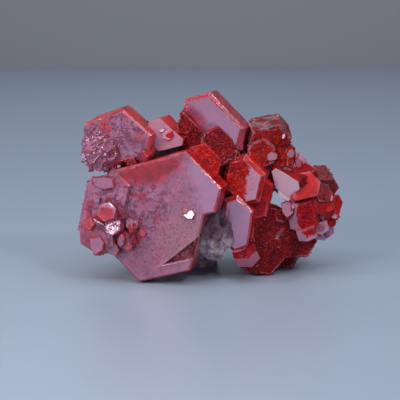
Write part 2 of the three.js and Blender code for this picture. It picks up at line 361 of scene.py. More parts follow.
@dataclass(frozen=True)
class Zone:
    """A patch of a piece's front with a look of its own.

    `at` is its centre as shares of the piece's box, along x and up z, and `half` its half sizes in
    millimetres before it is spun by `roll` degrees.
    """

    look: Look
    at: tuple[float, float]
    half: tuple[float, float]
    roll: float = 0.0
    soft: float = 0.35
    strength: float = 1.0

    RAGGED, RAG = 0.16, 0.8  # how uneven its outline is, and how wide the bends in it are

    def mask(self, points: np.ndarray, low: np.ndarray, high: np.ndarray) -> np.ndarray:
        """How much each point belongs to the patch, with an uneven outline.

        Args:
            points: where to look, in millimetres.
            low: the lowest corner of the piece's box.
            high: its highest corner.

        Returns:
            Shares from 0 to 1.
        """
        centre = low + (high - low) * np.array([self.at[0], 0, self.at[1]])
        away = (points - centre)[:, [0, 2]]
        roll = math.radians(self.roll)
        along = (away[:, 0] * math.cos(roll) + away[:, 1] * math.sin(roll)) / self.half[0]
        across = (away[:, 1] * math.cos(roll) - away[:, 0] * math.sin(roll)) / self.half[1]
        reach = np.sqrt(along**2 + across**2)
        ragged = self.RAGGED * Pattern.clouds(points[:, [0, 2]], self.RAG, 5, 3)
        return self.strength * (1 - ramp(reach + ragged, 1 - self.soft, 1 + self.soft))


@dataclass(frozen=True)
class Recess:
    """A sunken patch of a front face, bounded by straight growth edges.

    `corners` go anticlockwise, as shares of the piece's box along x and up z.
    """

    corners: tuple[tuple[float, float], ...]
    depth: float

    WALL = 0.22  # millimetres across which the floor falls away
    ROUGH = 0.2  # share of the depth by which the floor is uneven
    FLOOR_SHADE = 0.35  # how dark the floor is painted, as shade in the hollow
    LIP = 0.06  # height of the lip
    LIP_STARTS, LIP_ENDS = (-0.34, -0.16), (-0.06, 0.02)  # millimetres inside the outline

    def inside(self, points: np.ndarray, low: np.ndarray, high: np.ndarray) -> np.ndarray:
        """How far inside the outline each point is, in millimetres, below 0 outside it.

        Args:
            points: where to look, in millimetres.
            low: the lowest corner of the piece's box.
            high: its highest corner.

        Returns:
            One distance for each point.
        """
        outline = low[[0, 2]] + (high - low)[[0, 2]] * np.array(self.corners)
        nearest = np.full(len(points), FAR)
        for start, end in zip(outline, np.roll(outline, -1, axis=0)):
            side = (end - start) / np.linalg.norm(end - start)
            away = points[:, [0, 2]] - start
            nearest = np.minimum(nearest, side[0] * away[:, 1] - side[1] * away[:, 0])
        return nearest

    def carve(self, inside: np.ndarray, uneven: np.ndarray, height: np.ndarray, shows: dict) -> np.ndarray:
        """Sinks the patch, with a crust and painted shade on its floor, and a lip just outside its outline
        that gets a painted highlight.

        Args:
            inside: how far inside the outline each vertex is.
            uneven: a random share for each vertex.
            height: the facet's relief.
            shows: what the facet's vertices tell the material, changed here.

        Returns:
            The new relief.
        """
        sunk = ramp(inside, 0.0, self.WALL)
        lip = ramp(inside, *self.LIP_STARTS) * (1 - ramp(inside, *self.LIP_ENDS))
        # The lip gets a painted highlight, and the sunk floor painted shade.
        shows["lustre_and_painted_sheen"] = np.maximum(shows["lustre_and_painted_sheen"] * (1 - sunk), lip)
        shows["druse"] = np.maximum(shows["druse"], sunk)
        shows["seam_and_shade"] = shows["seam_and_shade"] * (1 - sunk) + self.FLOOR_SHADE * sunk
        return height - self.depth * sunk * (1 - self.ROUGH + self.ROUGH * uneven) + self.LIP * lip


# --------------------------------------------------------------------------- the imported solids


class Solid:
    """A CAD node's body: shared corners, triangles and the flat facets that they make up."""

    def __init__(self, name: str, source: bpy.types.Object) -> None:
        """Reads the node's mesh and sorts its triangles into facets.

        Args:
            name: the node's name.
            source: its object.
        """
        self.name = name
        mesh = bmesh.new()
        mesh.from_mesh(source.data)
        bmesh.ops.remove_doubles(mesh, verts=mesh.verts, dist=WELD * MM)
        bmesh.ops.dissolve_degenerate(mesh, dist=WELD * MM, edges=mesh.edges)
        bmesh.ops.triangulate(mesh, faces=mesh.faces)
        mesh.verts.index_update()
        self.corners = np.array([v.co for v in mesh.verts]) / MM
        self.triangles = np.array([[v.index for v in face.verts] for face in mesh.faces])
        mesh.free()
        self.low, self.high = self.corners.min(axis=0), self.corners.max(axis=0)
        self.tree = BVHTree.FromPolygons(self.corners.tolist(), self.triangles.tolist())
        a, b, c = (self.corners[self.triangles[:, k]] for k in range(3))
        cross = np.cross(b - a, c - a)
        self.areas = np.linalg.norm(cross, axis=1) / 2
        self.normals = cross / np.maximum(2 * self.areas, TINY)[:, None]
        self.twins = self._twins()
        self.facets = self._facets()

    def _twins(self) -> np.ndarray:
        """For each side of each triangle, the triangle on its other side, or -1.

        Returns:
            Three numbers for each triangle.
        """
        owner = {}
        for index, triangle in enumerate(self.triangles):
            for side in range(3):
                owner[triangle[side], triangle[(side + 1) % 3]] = index
        return np.array(
            [[owner.get((t[(side + 1) % 3], t[side]), -1) for side in range(3)] for t in self.triangles]
        )

    def _facets(self) -> np.ndarray:
        """For each triangle, the number of the flat facet that it belongs to.

        Returns:
            One number for each triangle.
        """
        facet = np.full(len(self.triangles), -1)
        count = 0
        for seed in np.argsort(-self.areas):
            if facet[seed] >= 0:
                continue
            facet[seed] = count
            waiting = [seed]
            while waiting:
                for other in self.twins[waiting.pop()]:
                    if other >= 0 and facet[other] < 0 and self.normals[other] @ self.normals[seed] > FLAT:
                        facet[other] = count
                        waiting.append(other)
            count += 1
        return facet

    def meeting(self, others: Sequence["Solid"]) -> np.ndarray:
        """Which facets stop short of a neighbour by the CAD's clearance.

        Args:
            others: the other solids of the specimen.

        Returns:
            One truth value for each facet.
        """
        count = self.facets.max() + 1
        meets, total = np.zeros(count), np.zeros(count)
        centres = self.corners[self.triangles].mean(axis=1)
        low, high = self.low - 2 * GAP, self.high + 2 * GAP
        near = [other for other in others if np.all(other.low < high) and np.all(other.high > low)]
        for triangle, facet in enumerate(self.facets):
            corners = self.corners[self.triangles[triangle]]
            for spot in (centres[triangle], *((corners + centres[triangle]) / 2)):
                place = Vector(spot + GAP * self.normals[triangle])
                hit = any(o.tree.find_nearest(place, TOUCH)[0] is not None for o in near)
                meets[facet] += self.areas[triangle] * hit
                total[facet] += self.areas[triangle]
        return meets > MEETS * total

    def close_gaps(self, others: Sequence["Solid"]) -> np.ndarray:
        """Moves the facets that meet a neighbour outwards until the clearance is gone.

        Args:
            others: the other solids of the specimen.

        Returns:
            One truth value for each facet: whether it meets a neighbour.
        """
        meets = self.meeting(others)
        planes: dict[int, dict[int, np.ndarray]] = {}
        for triangle, facet in enumerate(self.facets):
            for corner in self.triangles[triangle]:
                planes.setdefault(corner, {})[facet] = self.normals[triangle]
        for corner, met in planes.items():
            wanted = np.array([CLOSE if meets[facet] else 0.0 for facet in met])
            weight = np.array([1.0 if meets[facet] else KEEP for facet in met])
            if wanted.any():
                faces = np.array(list(met.values())) * weight[:, None]
                move = np.linalg.lstsq(faces, wanted * weight, rcond=STEADY)[0]
                self.corners[corner] += move * min(1, CLOSE_MOST / max(np.linalg.norm(move), TINY))
        return meets


# ------------------------------------------------------------------------- finely meshed faces


@dataclass
class Sheet:
    """One facet's share of a fine mesh."""

    normal: np.ndarray
    inner: np.ndarray  # vertices that belong to this facet only
    outer: np.ndarray  # vertices that it shares with its neighbours
    flat: np.ndarray  # the places of both, in the facet's own plane
    border: np.ndarray  # how far each is from the facet's outline
    triangles: np.ndarray  # triples of places in inner and outer together
    hidden: bool
    basal: bool

    @property
    def everything(self) -> np.ndarray:
        """All the vertices of the facet."""
        return np.concatenate([self.inner, self.outer])


class FineMesh:
    """A solid's facets filled with small, even triangles that share their borders."""

    UPRIGHT = 0.95  # a normal with more z than this looks up or down
    CLEAR = 0.55  # how far inside the outline the lattice stays, in spacings
    ROW = 0.866  # between the rows of the lattice, in spacings
    UNEVEN = 0.25  # how far its points stray, in spacings
    SLIVER = 1e-9  # twice the area of a triangle that is too thin to keep
    MERGE = 1e-6  # points nearer than this are one

    def __init__(self, solid: Solid, hidden: np.ndarray, axes: Sequence[np.ndarray], coarser: float) -> None:
        """Meshes every facet of the solid.

        Args:
            solid: the solid, with its gaps closed.
            hidden: for each facet, whether it meets a neighbour.
            axes: the growth axes of its crystals; basal faces look along them.
            coarser: how much wider than usual the spacing is.
        """
        self.solid, self.hidden, self.axes = solid, hidden, axes
        self.points: list[np.ndarray] = []
        self.sheets: list[Sheet] = []
        self.coarser = coarser
        self.corner_names: dict[int, int] = {}
        self.side_names: dict[tuple[int, int], list[int]] = {}
        for facet in range(solid.facets.max() + 1):
            self._fill(facet)

    def _spacing(self, facet: int) -> float:
        """The distance between a facet's vertices."""
        if self.hidden[facet]:
            return HIDDEN * self.coarser
        normal = self._normal(facet)
        return (FINE if normal[1] < FINE_FRONT else PLAIN) * self.coarser

    def _normal(self, facet: int) -> np.ndarray:
        """The outward direction of a facet, from its largest triangles."""
        members = self.solid.facets == facet
        total = (self.solid.normals[members] * self.solid.areas[members][:, None]).sum(axis=0)
        return total / max(np.linalg.norm(total), TINY)

    def _named(self, corner: int) -> int:
        """The vertex of a corner, made on first use."""
        if corner not in self.corner_names:
            self.corner_names[corner] = len(self.points)
            self.points.append(self.solid.corners[corner])
        return self.corner_names[corner]

    def _along(self, start: int, end: int, spacing: float) -> list[int]:
        """The vertices from one corner to the next, the same for the facets on both sides.

        Args:
            start: the first corner.
            end: the next one.
            spacing: the distance between vertices.

        Returns:
            The vertices' numbers, with those of both corners.
        """
        if (end, start) in self.side_names:
            return self.side_names[end, start][::-1]
        if (start, end) not in self.side_names:
            first, last = self._named(start), self._named(end)
            a, b = self.solid.corners[start], self.solid.corners[end]
            steps = max(1, round(float(np.linalg.norm(b - a)) / spacing))
            middle = []
            for step in range(1, steps):
                middle.append(len(self.points))
                self.points.append(a + (b - a) * step / steps)
            self.side_names[start, end] = [first, *middle, last]
        return self.side_names[start, end]

    def _fill(self, facet: int) -> None:
        """Meshes one facet: its outline first, then a lattice of vertices inside it.

        Args:
            facet: its number.
        """
        solid = self.solid
        normal, spacing = self._normal(facet), self._spacing(facet)
        level = abs(normal[2]) < self.UPRIGHT
        right = np.cross([0.0, 0.0, 1.0], normal) if level else np.array([1.0, 0.0, 0.0])
        right -= normal * (right @ normal)
        right /= np.linalg.norm(right)
        plane = np.stack([right, np.cross(normal, right)], axis=1)
        runs = []
        for triangle in np.flatnonzero(solid.facets == facet):
            for side, other in enumerate(solid.twins[triangle]):
                if other >= 0 and solid.facets[other] == facet:
                    continue
                start, end = solid.triangles[triangle][side], solid.triangles[triangle][(side + 1) % 3]
                finest = min(spacing, self._spacing(solid.facets[other])) if other >= 0 else spacing
                runs.append(self._along(start, end, finest))
        if len(runs) < 3:
            return
        outer = np.array(sorted({name for run in runs for name in run}))
        place = {name: k for k, name in enumerate(outer)}
        rim = np.array([self.points[name] for name in outer])
        rim_flat = rim @ plane
        height = float((rim @ normal).mean())
        ends = np.array([[place[run[0]], place[run[-1]]] for run in runs])
        segments = [(place[a], place[b]) for run in runs for a, b in zip(run, run[1:])]
        starts, stops = rim_flat[ends[:, 0]], rim_flat[ends[:, 1]]
        lattice = self._lattice(rim_flat.min(axis=0), rim_flat.max(axis=0), spacing)
        distance = self._distance(lattice, starts, stops)
        keep = self._within(lattice, starts, stops) & (distance > self.CLEAR * spacing)
        lattice, distance = lattice[keep], distance[keep]
        extra, triangles = self._triangles(lattice, rim_flat, segments, starts, stops)
        triangles[triangles >= len(lattice)] += len(extra)
        triangles[triangles >= len(lattice) + len(extra) + len(rim_flat)] -= len(extra) + len(rim_flat)
        lattice = np.concatenate([lattice, extra])
        distance = np.concatenate([distance, np.zeros(len(extra))])
        inner = np.arange(len(self.points), len(self.points) + len(lattice))
        self.points.extend(lattice @ plane.T + height * normal)
        self.sheets.append(
            Sheet(
                normal=normal,
                inner=inner,
                outer=outer,
                flat=np.concatenate([lattice, rim_flat]),
                border=np.concatenate([distance, np.zeros(len(outer))]),
                triangles=triangles,
                hidden=bool(self.hidden[facet]),
                basal=any(abs(normal @ axis) > BASAL for axis in self.axes),
            )
        )

    @classmethod
    def _lattice(cls, low: np.ndarray, high: np.ndarray, spacing: float) -> np.ndarray:
        """Points in a slightly uneven honeycomb over a rectangle.

        Args:
            low: the rectangle's lowest corner.
            high: its highest.
            spacing: the distance between points.

        Returns:
            The points.
        """
        rows = np.arange(math.floor(low[1] / spacing / cls.ROW), math.ceil(high[1] / spacing / cls.ROW))
        columns = np.arange(math.floor(low[0] / spacing) - 1, math.ceil(high[0] / spacing))
        row, column = (grid.ravel() for grid in np.meshgrid(rows, columns, indexing="ij"))
        cell = np.stack([column, row], axis=1).astype(np.int64)
        shift = np.stack([Pattern.chance(cell, 11), Pattern.chance(cell, 12)], axis=1) - 0.5
        points = np.stack([column + 0.5 * (row % 2), cls.ROW * row], axis=1)
        return (points + cls.UNEVEN * shift) * spacing

    @staticmethod
    def _within(points: np.ndarray, starts: np.ndarray, stops: np.ndarray) -> np.ndarray:
        """Which points lie inside the outline made of the given sides.

        Args:
            points: the points, in the facet's plane.
            starts: where each side starts.
            stops: where each one ends.

        Returns:
            One truth value for each point.
        """
        inside = np.zeros(len(points), bool)
        for a, b in zip(starts, stops):
            if a[1] == b[1]:
                continue
            crosses = (a[1] > points[:, 1]) != (b[1] > points[:, 1])
            at = a[0] + (points[:, 1] - a[1]) * (b[0] - a[0]) / (b[1] - a[1])
            inside ^= crosses & (points[:, 0] < at)
        return inside

    @staticmethod
    def _distance(points: np.ndarray, starts: np.ndarray, stops: np.ndarray) -> np.ndarray:
        """How far each point is from the nearest side.

        Args:
            points: the points, in the facet's plane.
            starts: where each side starts.
            stops: where each one ends.

        Returns:
            One distance for each point.
        """
        nearest = np.full(len(points), FAR)
        for a, b in zip(starts, stops):
            side = b - a
            share = np.clip((points - a) @ side / max(side @ side, TINY), 0, 1)
            nearest = np.minimum(nearest, np.linalg.norm(points - a - share[:, None] * side, axis=1))
        return nearest

    def _triangles(
        self,
        lattice: np.ndarray,
        rim: np.ndarray,
        segments: list[tuple[int, int]],
        starts: np.ndarray,
        stops: np.ndarray,
    ) -> tuple[np.ndarray, np.ndarray]:
        """Joins the lattice and the rim in even triangles.

        Args:
            lattice: points inside the outline.
            rim: points on the outline.
            segments: pairs of neighbours on the rim.
            starts: where each straight side of the outline starts.
            stops: where each one ends.

        Returns:
            Points added where sides of the outline cross, and triples of places in the lattice, the
            rim and the added points together.
        """
        together = np.concatenate([lattice, rim])
        shifted = [(a + len(lattice), b + len(lattice)) for a, b in segments]
        places, _, faces, origins = delaunay_2d_cdt(
            [Vector(p) for p in together], shifted, [], 1, self.MERGE, True
        )[:4]
        added = [k for k, origin in enumerate(origins) if not origin]
        extra = np.array([places[k] for k in added]).reshape(-1, 2)
        names = np.array([origin[0] if origin else -1 for origin in origins])
        names[added] = len(together) + np.arange(len(added))
        everything = np.concatenate([together, extra])
        triangles = names[np.array(faces, int).reshape(-1, 3)]
        triangles = triangles[self._within(everything[triangles].mean(axis=1), starts, stops)]
        a, b, c = (everything[triangles[:, k]] for k in range(3))
        twice_area = (b - a)[:, 0] * (c - a)[:, 1] - (b - a)[:, 1] * (c - a)[:, 0]
        triangles[twice_area < 0] = triangles[twice_area < 0][:, ::-1]
        return extra, triangles[np.abs(twice_area) > self.SLIVER]


# ------------------------------------------------------------------------------------ crystals


# What a crystal's mesh tells its material, and where small crystals grow on it.
SURFACE = ("lustre_and_painted_sheen", "seam_and_shade", "druse", "glow", "tan", "speckle", "scales", "dull")


class Marks:
    """The growth patterns of one facet, before its look says how much of each shows.

    Widths and depths are millimetres.
    """

    BEND = 1.2  # width of the bends in the outlines of islands
    ISLAND, SMALL_ISLAND, GRAIN, PIT = 1.9, 0.9, 0.3, 0.62  # widths of the cells
    ISLAND_BENDS, SMALL_BENDS, GRAIN_BENDS, MOTTLE_BENDS = 0.8, 0.5, 0.1, 0.3  # how far bends move them
    SEAM, WIDER_SEAM = 0.11, 0.34  # the narrowest seam, and what the widest has on top
    ISLAND_SEAM, SMALL_SEAM = (0.35, 1.0), (0.2, 0.8)  # shares of that width where a seam fades out
    SMALL_COUNTS, MOTTLE_COUNTS = 0.9, 0.9  # strength of small seams and of mottling
    SMALL_STEP = 0.5  # how far small islands are lifted, against large ones
    PITTED = 0.45  # share of the cells that have a pit
    PIT_EDGE = (0.05, 0.15)
    SMALL_TONE, ISLAND_TONE = 0.6, 0.4  # how far each size of island differs in lustre
    SEAM_DEEP, STEP_DEEP = 0.03, 0.045
    FROST_DEEP, PIT_DEEP = 0.018, 0.06
    GRAIN_TALL, GRAIN_TILT = 0.04, 0.35  # how the tops of a crust's crystals differ in height and slope
    ROLL, ROLL_WIDE = 0.010, 2.6  # how far a large face rolls, and how wide the swells are

    WIDE_SEAMS = Patches(0.7, 8, 3, 0.0, 0.6)
    SEAMED = Patches(1.5, 10, 2, -0.5, -0.2)
    SMALL_SEAMED = Patches(1.9, 9, 2, -0.15, 0.2)
    MOTTLED = Patches(0.55, 62, 3, 0.12, 0.5)
    BARE = Patches(1.5, 37, 2, 0.18, 0.34)

    def __init__(self, flat: np.ndarray) -> None:
        """Works the patterns out.

        Args:
            flat: the facet's vertices, in its own plane.
        """
        bend = np.stack([Pattern.clouds(flat, self.BEND, seed, 3) for seed in (3, 4)], axis=1)
        _, gap, _, island = Pattern.islands(flat + self.ISLAND_BENDS * bend, self.ISLAND, 21)
        _, small_gap, _, small = Pattern.islands(flat + self.SMALL_BENDS * bend, self.SMALL_ISLAND, 22)
        _, _, way, grain = Pattern.islands(flat + self.GRAIN_BENDS * bend, self.GRAIN, 25)
        from_pit, _, _, pit = Pattern.islands(flat, self.PIT, 29)

        width = self.SEAM + self.WIDER_SEAM * self.WIDE_SEAMS.at(flat)
        large_seam = (1 - ramp(gap / width, *self.ISLAND_SEAM)) * self.SEAMED.at(flat)
        small_seam = (1 - ramp(small_gap / width, *self.SMALL_SEAM)) * self.SMALL_SEAMED.at(flat)
        seam = np.maximum(large_seam, self.SMALL_COUNTS * small_seam)
        mottle = self.MOTTLED.at(flat + self.MOTTLE_BENDS * bend)
        level = Pattern.chance(island, 23) + self.SMALL_STEP * Pattern.chance(small, 24)
        tilt = np.stack([Pattern.chance(grain, seed) - 0.5 for seed in (26, 27)], axis=1)
        tall = Pattern.chance(grain, 28) * self.GRAIN_TALL

        self.fine = Pattern.clouds(flat, 0.3, 33, 2)
        self.bare = self.BARE.at(flat)
        self.pits = (Pattern.chance(pit, 30) < self.PITTED) * (1 - ramp(from_pit, *self.PIT_EDGE))
        self.dark = np.maximum(seam, self.MOTTLE_COUNTS * mottle)
        self.tone = self.SMALL_TONE * Pattern.chance(small, 31)
        self.tone += self.ISLAND_TONE * Pattern.chance(island, 32)
        self.uneven = Pattern.chance(grain, 35)
        self.roll = self.ROLL * Pattern.clouds(flat, self.ROLL_WIDE, 34, 2)
        self.steps = self.SEAM_DEEP * seam + self.STEP_DEEP * level
        self.pitting = self.FROST_DEEP * (1 + self.fine) + self.PIT_DEEP * self.pits
        self.grains = tall + self.GRAIN_TILT * np.sum(way * tilt, axis=1) - self.GRAIN_TALL


@dataclass(frozen=True)
class Small:
    """A small six-sided crystal that sits on a large one."""

    at: tuple[float, float]  # millimetres across and up, as seen from the front
    width: float
    thick: float
    turn: float
    lean: float
    spin: float = 0.0
    stretch: float = 1.0
    look: Look = CLEAN
    side: Look = RED

    SIDES = 6
    CHAMFER = 0.07  # as a share of the width
    SUNK = 0.72  # share of the thickness that is inside the large crystal
    UNEVEN = 0.24  # how far the corners stand in or out, as a share of the radius
    NEXT_CORNER = 2.4  # radians from one corner's draw to the next
    IN_FRONT = -40.0  # millimetres along y, ahead of everything

    def grow(self, solid: Solid) -> tuple[np.ndarray, np.ndarray, dict[str, np.ndarray]]:
        """Makes the crystal's mesh where a straight line from the front meets the solid.

        Args:
            solid: the large crystal.

        Returns:
            The vertices, the triangles and the surface attributes for each triangle corner; all
            empty if the line misses.
        """
        hit = solid.tree.ray_cast(Vector((self.at[0], self.IN_FRONT, self.at[1])), Vector((0, 1, 0)))[0]
        if hit is None:
            LOG.warning("nothing at %s on %s", self.at, solid.name)
            return np.zeros((0, 3)), np.zeros((0, 3), int), {name: np.zeros(0) for name in SURFACE}
        out = direction(self.turn, self.lean)
        right = np.cross([0.0, 0.0, 1.0], out)
        right /= np.linalg.norm(right)
        up = np.cross(out, right)
        angles = np.radians(self.spin) + 2 * math.pi * np.arange(self.SIDES) / self.SIDES
        ring = np.cos(angles)[:, None] * right * self.stretch + np.sin(angles)[:, None] * up
        corners = self.NEXT_CORNER * np.arange(self.SIDES) + self.spin + self.at[0]
        ring *= self.width / 2 * (1 + self.UNEVEN * np.sin(corners))[:, None]
        chamfer = self.CHAMFER * self.width
        top = (1 - self.SUNK) * self.thick
        levels = ((1.0, -self.SUNK * self.thick), (1.0, top - chamfer), (1 - 2 * self.CHAMFER, top))
        layers = [np.array(hit) + ring * share + out * height for share, height in levels]
        points = np.concatenate([*layers, [np.array(hit) + out * top]])
        triangles, looks = [], []
        for k in range(self.SIDES):
            after = (k + 1) % self.SIDES
            for low, look in ((0, self.side), (self.SIDES, self.side)):
                high = low + self.SIDES
                triangles += [(low + k, low + after, high + after), (low + k, high + after, high + k)]
                looks += [look, look]
            triangles.append((3 * self.SIDES, 2 * self.SIDES + k, 2 * self.SIDES + after))
            looks.append(self.look)
            if 0 < k < self.SIDES - 1:
                triangles.append((0, after, k))
                looks.append(self.side)
        told = {
            name: np.repeat([getattr(look, "shade" if name == "seam_and_shade" else name) for look in looks], 3)
            for name in SURFACE
        }
        return points, np.array(triangles), told


@dataclass(frozen=True)
class Crystal:
    """One piece of vanadinite: a CAD node's crystals with their finished surface."""

    node: str
    axes: tuple[tuple[float, float], ...]  # turn and lean of each crystal's basal face
    slot: str
    basal: Look = CLEAN
    prism: Look = GLOWING
    zones: tuple[Zone, ...] = ()
    recesses: tuple[Recess, ...] = ()
    back: Look = SPECKLED
    small: tuple[Small, ...] = ()

    WORN, CHIPPED = 0.015, 0.06  # millimetres that an edge is worn, and how much deeper a chip is
    CHIPS = Patches(0.45, 41, 2, 0.1, 0.7)
    PIT_STAIN, PIT_MOST = 0.75, 0.9  # how dark pits are, and the most speckle that counts for it
    LOST_IN_CRACKS, LOST_TO_FROST, LOST_TO_TONE, LOST_WHERE_BARE = 0.9, 0.22, 0.6, 0.85  # of the lustre
    BARE_GLOW, BARE_DULL = 0.35, 0.8  # how much painted glow bare red patches get, and how dull they are
    FILM = (0.8, 0.3)  # the brown film's strength, and how far it varies
    RIM, RIM_LUSTRE = (0.04, 0.18), 0.4  # millimetres from an edge where its painted highlight fades out, and how pale the highlight is painted
    HIGHLIGHTED_RIMS = Patches(1.3, 38, 2, -0.2, 0.3)
    STRIA, STRIA_WIDE, STRIA_STRETCH = 0.012, 0.4, (0.25, 1.0)  # grooves along the prism faces
    FADE = 0.2  # millimetres from an edge where the relief starts

    def build(self, solids: dict[str, Solid], coarser: float) -> bpy.types.Object:
        """Makes the crystal's finished mesh.

        Args:
            solids: all the CAD solids by name.
            coarser: how much wider than usual the mesh spacing is.

        Returns:
            The new object, in the scene, with its place in its mesh.
        """
        solid = solids[self.node]
        hidden = solid.close_gaps([other for name, other in solids.items() if name != self.node])
        fine = FineMesh(solid, hidden, [direction(*axis) for axis in self.axes], coarser)
        points = np.array(fine.points)
        low, high = solid.low, solid.high
        moved = points.copy()
        corners, told = [], {name: [] for name in SURFACE}
        for sheet in fine.sheets:
            names = sheet.everything
            features = self._features(sheet, points[names], low, high)
            height, surface = self._surface(sheet, points[names], features, low, high)
            inner = len(sheet.inner)
            moved[sheet.inner] += height[:inner, None] * sheet.normal
            corners.append(names[sheet.triangles])
            for name in SURFACE:
                told[name].append(surface[name][sheet.triangles].ravel())
        shared = np.ones(len(points), bool)
        for sheet in fine.sheets:
            shared[sheet.inner] = False
        moved[shared] += self._wear(points[shared], (low + high) / 2)
        count = len(moved)
        blocks = [moved]
        for crystal in self.small:
            more, triangles, values = crystal.grow(solid)
            corners.append(triangles + count)
            count += len(more)
            blocks.append(more)
            for name in SURFACE:
                told[name].append(values[name])
        name = self.node.replace("_", " ").title().replace(" ", "_")
        told = {name: np.concatenate(values) for name, values in told.items()}
        return mesh_object(name, np.concatenate(blocks), np.concatenate(corners), told)

    @classmethod
    def _wear(cls, points: np.ndarray, middle: np.ndarray) -> np.ndarray:
        """Small chips that pull the edges of a crystal inwards.

        Args:
            points: vertices on the edges.
            middle: the middle of the piece.

        Returns:
            How far each vertex moves.
        """
        inwards = middle - points
        inwards /= np.maximum(np.linalg.norm(inwards, axis=1), TINY)[:, None]
        return inwards * (cls.WORN + cls.CHIPPED * cls.CHIPS.at(points))[:, None]

    def _features(self, sheet: Sheet, points: np.ndarray, low: np.ndarray, high: np.ndarray) -> dict:
        """How much of each growth feature shows at each vertex of a facet.

        Args:
            sheet: the facet.
            points: its vertices.
            low: the lowest corner of the piece's box.
            high: its highest corner.

        Returns:
            An array for each field of Look.
        """
        front = sheet.normal[1] < LOOK_FRONT
        look = (self.basal if front else self.back) if sheet.basal else self.prism
        features = {f.name: np.full(len(points), getattr(look, f.name)) for f in fields(Look)}
        if front:
            for zone in self.zones:
                share = zone.mask(points, low, high)
                for name, value in features.items():
                    value += share * (getattr(zone.look, name) - value)
        return features

    def _surface(
        self, sheet: Sheet, points: np.ndarray, features: dict, low: np.ndarray, high: np.ndarray
    ) -> tuple[np.ndarray, dict[str, np.ndarray]]:
        """The relief of a facet and what its vertices tell the material.

        Args:
            sheet: the facet.
            points: its vertices.
            features: how much of each growth feature shows there.
            low: the lowest corner of the piece's box.
            high: its highest corner.

        Returns:
            The height of each vertex above the flat facet, and the values of the surface attributes.
        """
        marks = Marks(sheet.flat)
        islands, speckle = features["islands"], features["speckle"]
        bare = islands * marks.bare
        height = marks.roll - islands * marks.steps - speckle * marks.pitting
        height += features["druse"] * marks.grains
        pits = self.PIT_STAIN * np.minimum(speckle, self.PIT_MOST) * marks.pits
        # Dark seams and pits, with painted shade added where a look asks for it.
        seam_and_shade = np.maximum(np.maximum(islands * marks.dark, pits), features["shade"])
        lustre_and_painted_sheen = features["lustre_and_painted_sheen"] * (1 - self.LOST_IN_CRACKS * seam_and_shade)
        lustre_and_painted_sheen *= 1 - self.LOST_TO_FROST * speckle * (1 + marks.fine) / 2
        lustre_and_painted_sheen *= (1 - self.LOST_TO_TONE * islands * marks.tone) * (1 - self.LOST_WHERE_BARE * bare)
        shows = {
            "lustre_and_painted_sheen": lustre_and_painted_sheen,
            "seam_and_shade": seam_and_shade,
            "druse": features["druse"],
            "glow": np.maximum(features["glow"], self.BARE_GLOW * bare),
            "tan": features["tan"] * (self.FILM[0] + self.FILM[1] * marks.fine),
            "speckle": speckle,
            "scales": features["scales"],
            "dull": np.maximum(features["dull"], self.BARE_DULL * bare),
        }
        if sheet.normal[1] <= RECESS_FRONT:
            for recess in self.recesses:
                height = recess.carve(recess.inside(points, low, high), marks.uneven, height, shows)
        # A painted highlight along the edges, in patches.
        rim = (1 - ramp(sheet.border, *self.RIM)) * self.HIGHLIGHTED_RIMS.at(sheet.flat)
        shows["lustre_and_painted_sheen"] = np.maximum(shows["lustre_and_painted_sheen"], self.RIM_LUSTRE * rim)
        if not sheet.basal:
            height -= self.STRIA * (1 + Pattern.clouds(sheet.flat * self.STRIA_STRETCH, self.STRIA_WIDE, 36))
        height = np.where(sheet.hidden, 0.0, height * ramp(sheet.border, 0.0, self.FADE))
        if sheet.hidden:
            shows["druse"] = shows["scales"] = np.zeros(len(points))
        return height, {name: np.clip(value, 0, 1) for name, value in shows.items()}


def mesh_object(
    name: str, points: np.ndarray, triangles: np.ndarray, told: dict[str, np.ndarray]
) -> bpy.types.Object:
    """Makes a smooth-shaded object, with sharp edges kept, from a mesh in millimetres.

    Args:
        name: the object's name.
        points: the vertices.
        triangles: triples of vertices.
        told: values for the material by attribute name, one for each vertex or triangle corner.

    Returns:
        The new object, linked to the scene.
    """
    mesh = bpy.data.meshes.new(name)
    mesh.vertices.add(len(points))
    points[:, 2] = np.maximum(points[:, 2], 0)
    mesh.vertices.foreach_set("co", (points * MM).astype(np.float32).ravel())
    mesh.loops.add(3 * len(triangles))
    mesh.loops.foreach_set("vertex_index", triangles.astype(np.int32).ravel())
    mesh.polygons.add(len(triangles))
    mesh.polygons.foreach_set("loop_start", np.arange(0, 3 * len(triangles), 3, dtype=np.int32))
    for attribute, values in told.items():
        domain = "POINT" if len(values) == len(points) else "CORNER"
        mesh.attributes.new(attribute, "FLOAT", domain).data.foreach_set("value", values.astype(np.float32))
    mesh.update(calc_edges=True)
    mesh.shade_smooth()
    mesh.set_sharp_from_angle(angle=SHARP)
    return new_object(name, mesh)


# --------------------------------------------------------------------- small crystals and grains


class Shape(Enum):
    """The kinds of grain that are strewn over a surface."""

    PRISM = "short six-sided crystal"
    PLATE = "thin six-sided plate"
    CRUMB = "rounded grain of rock"


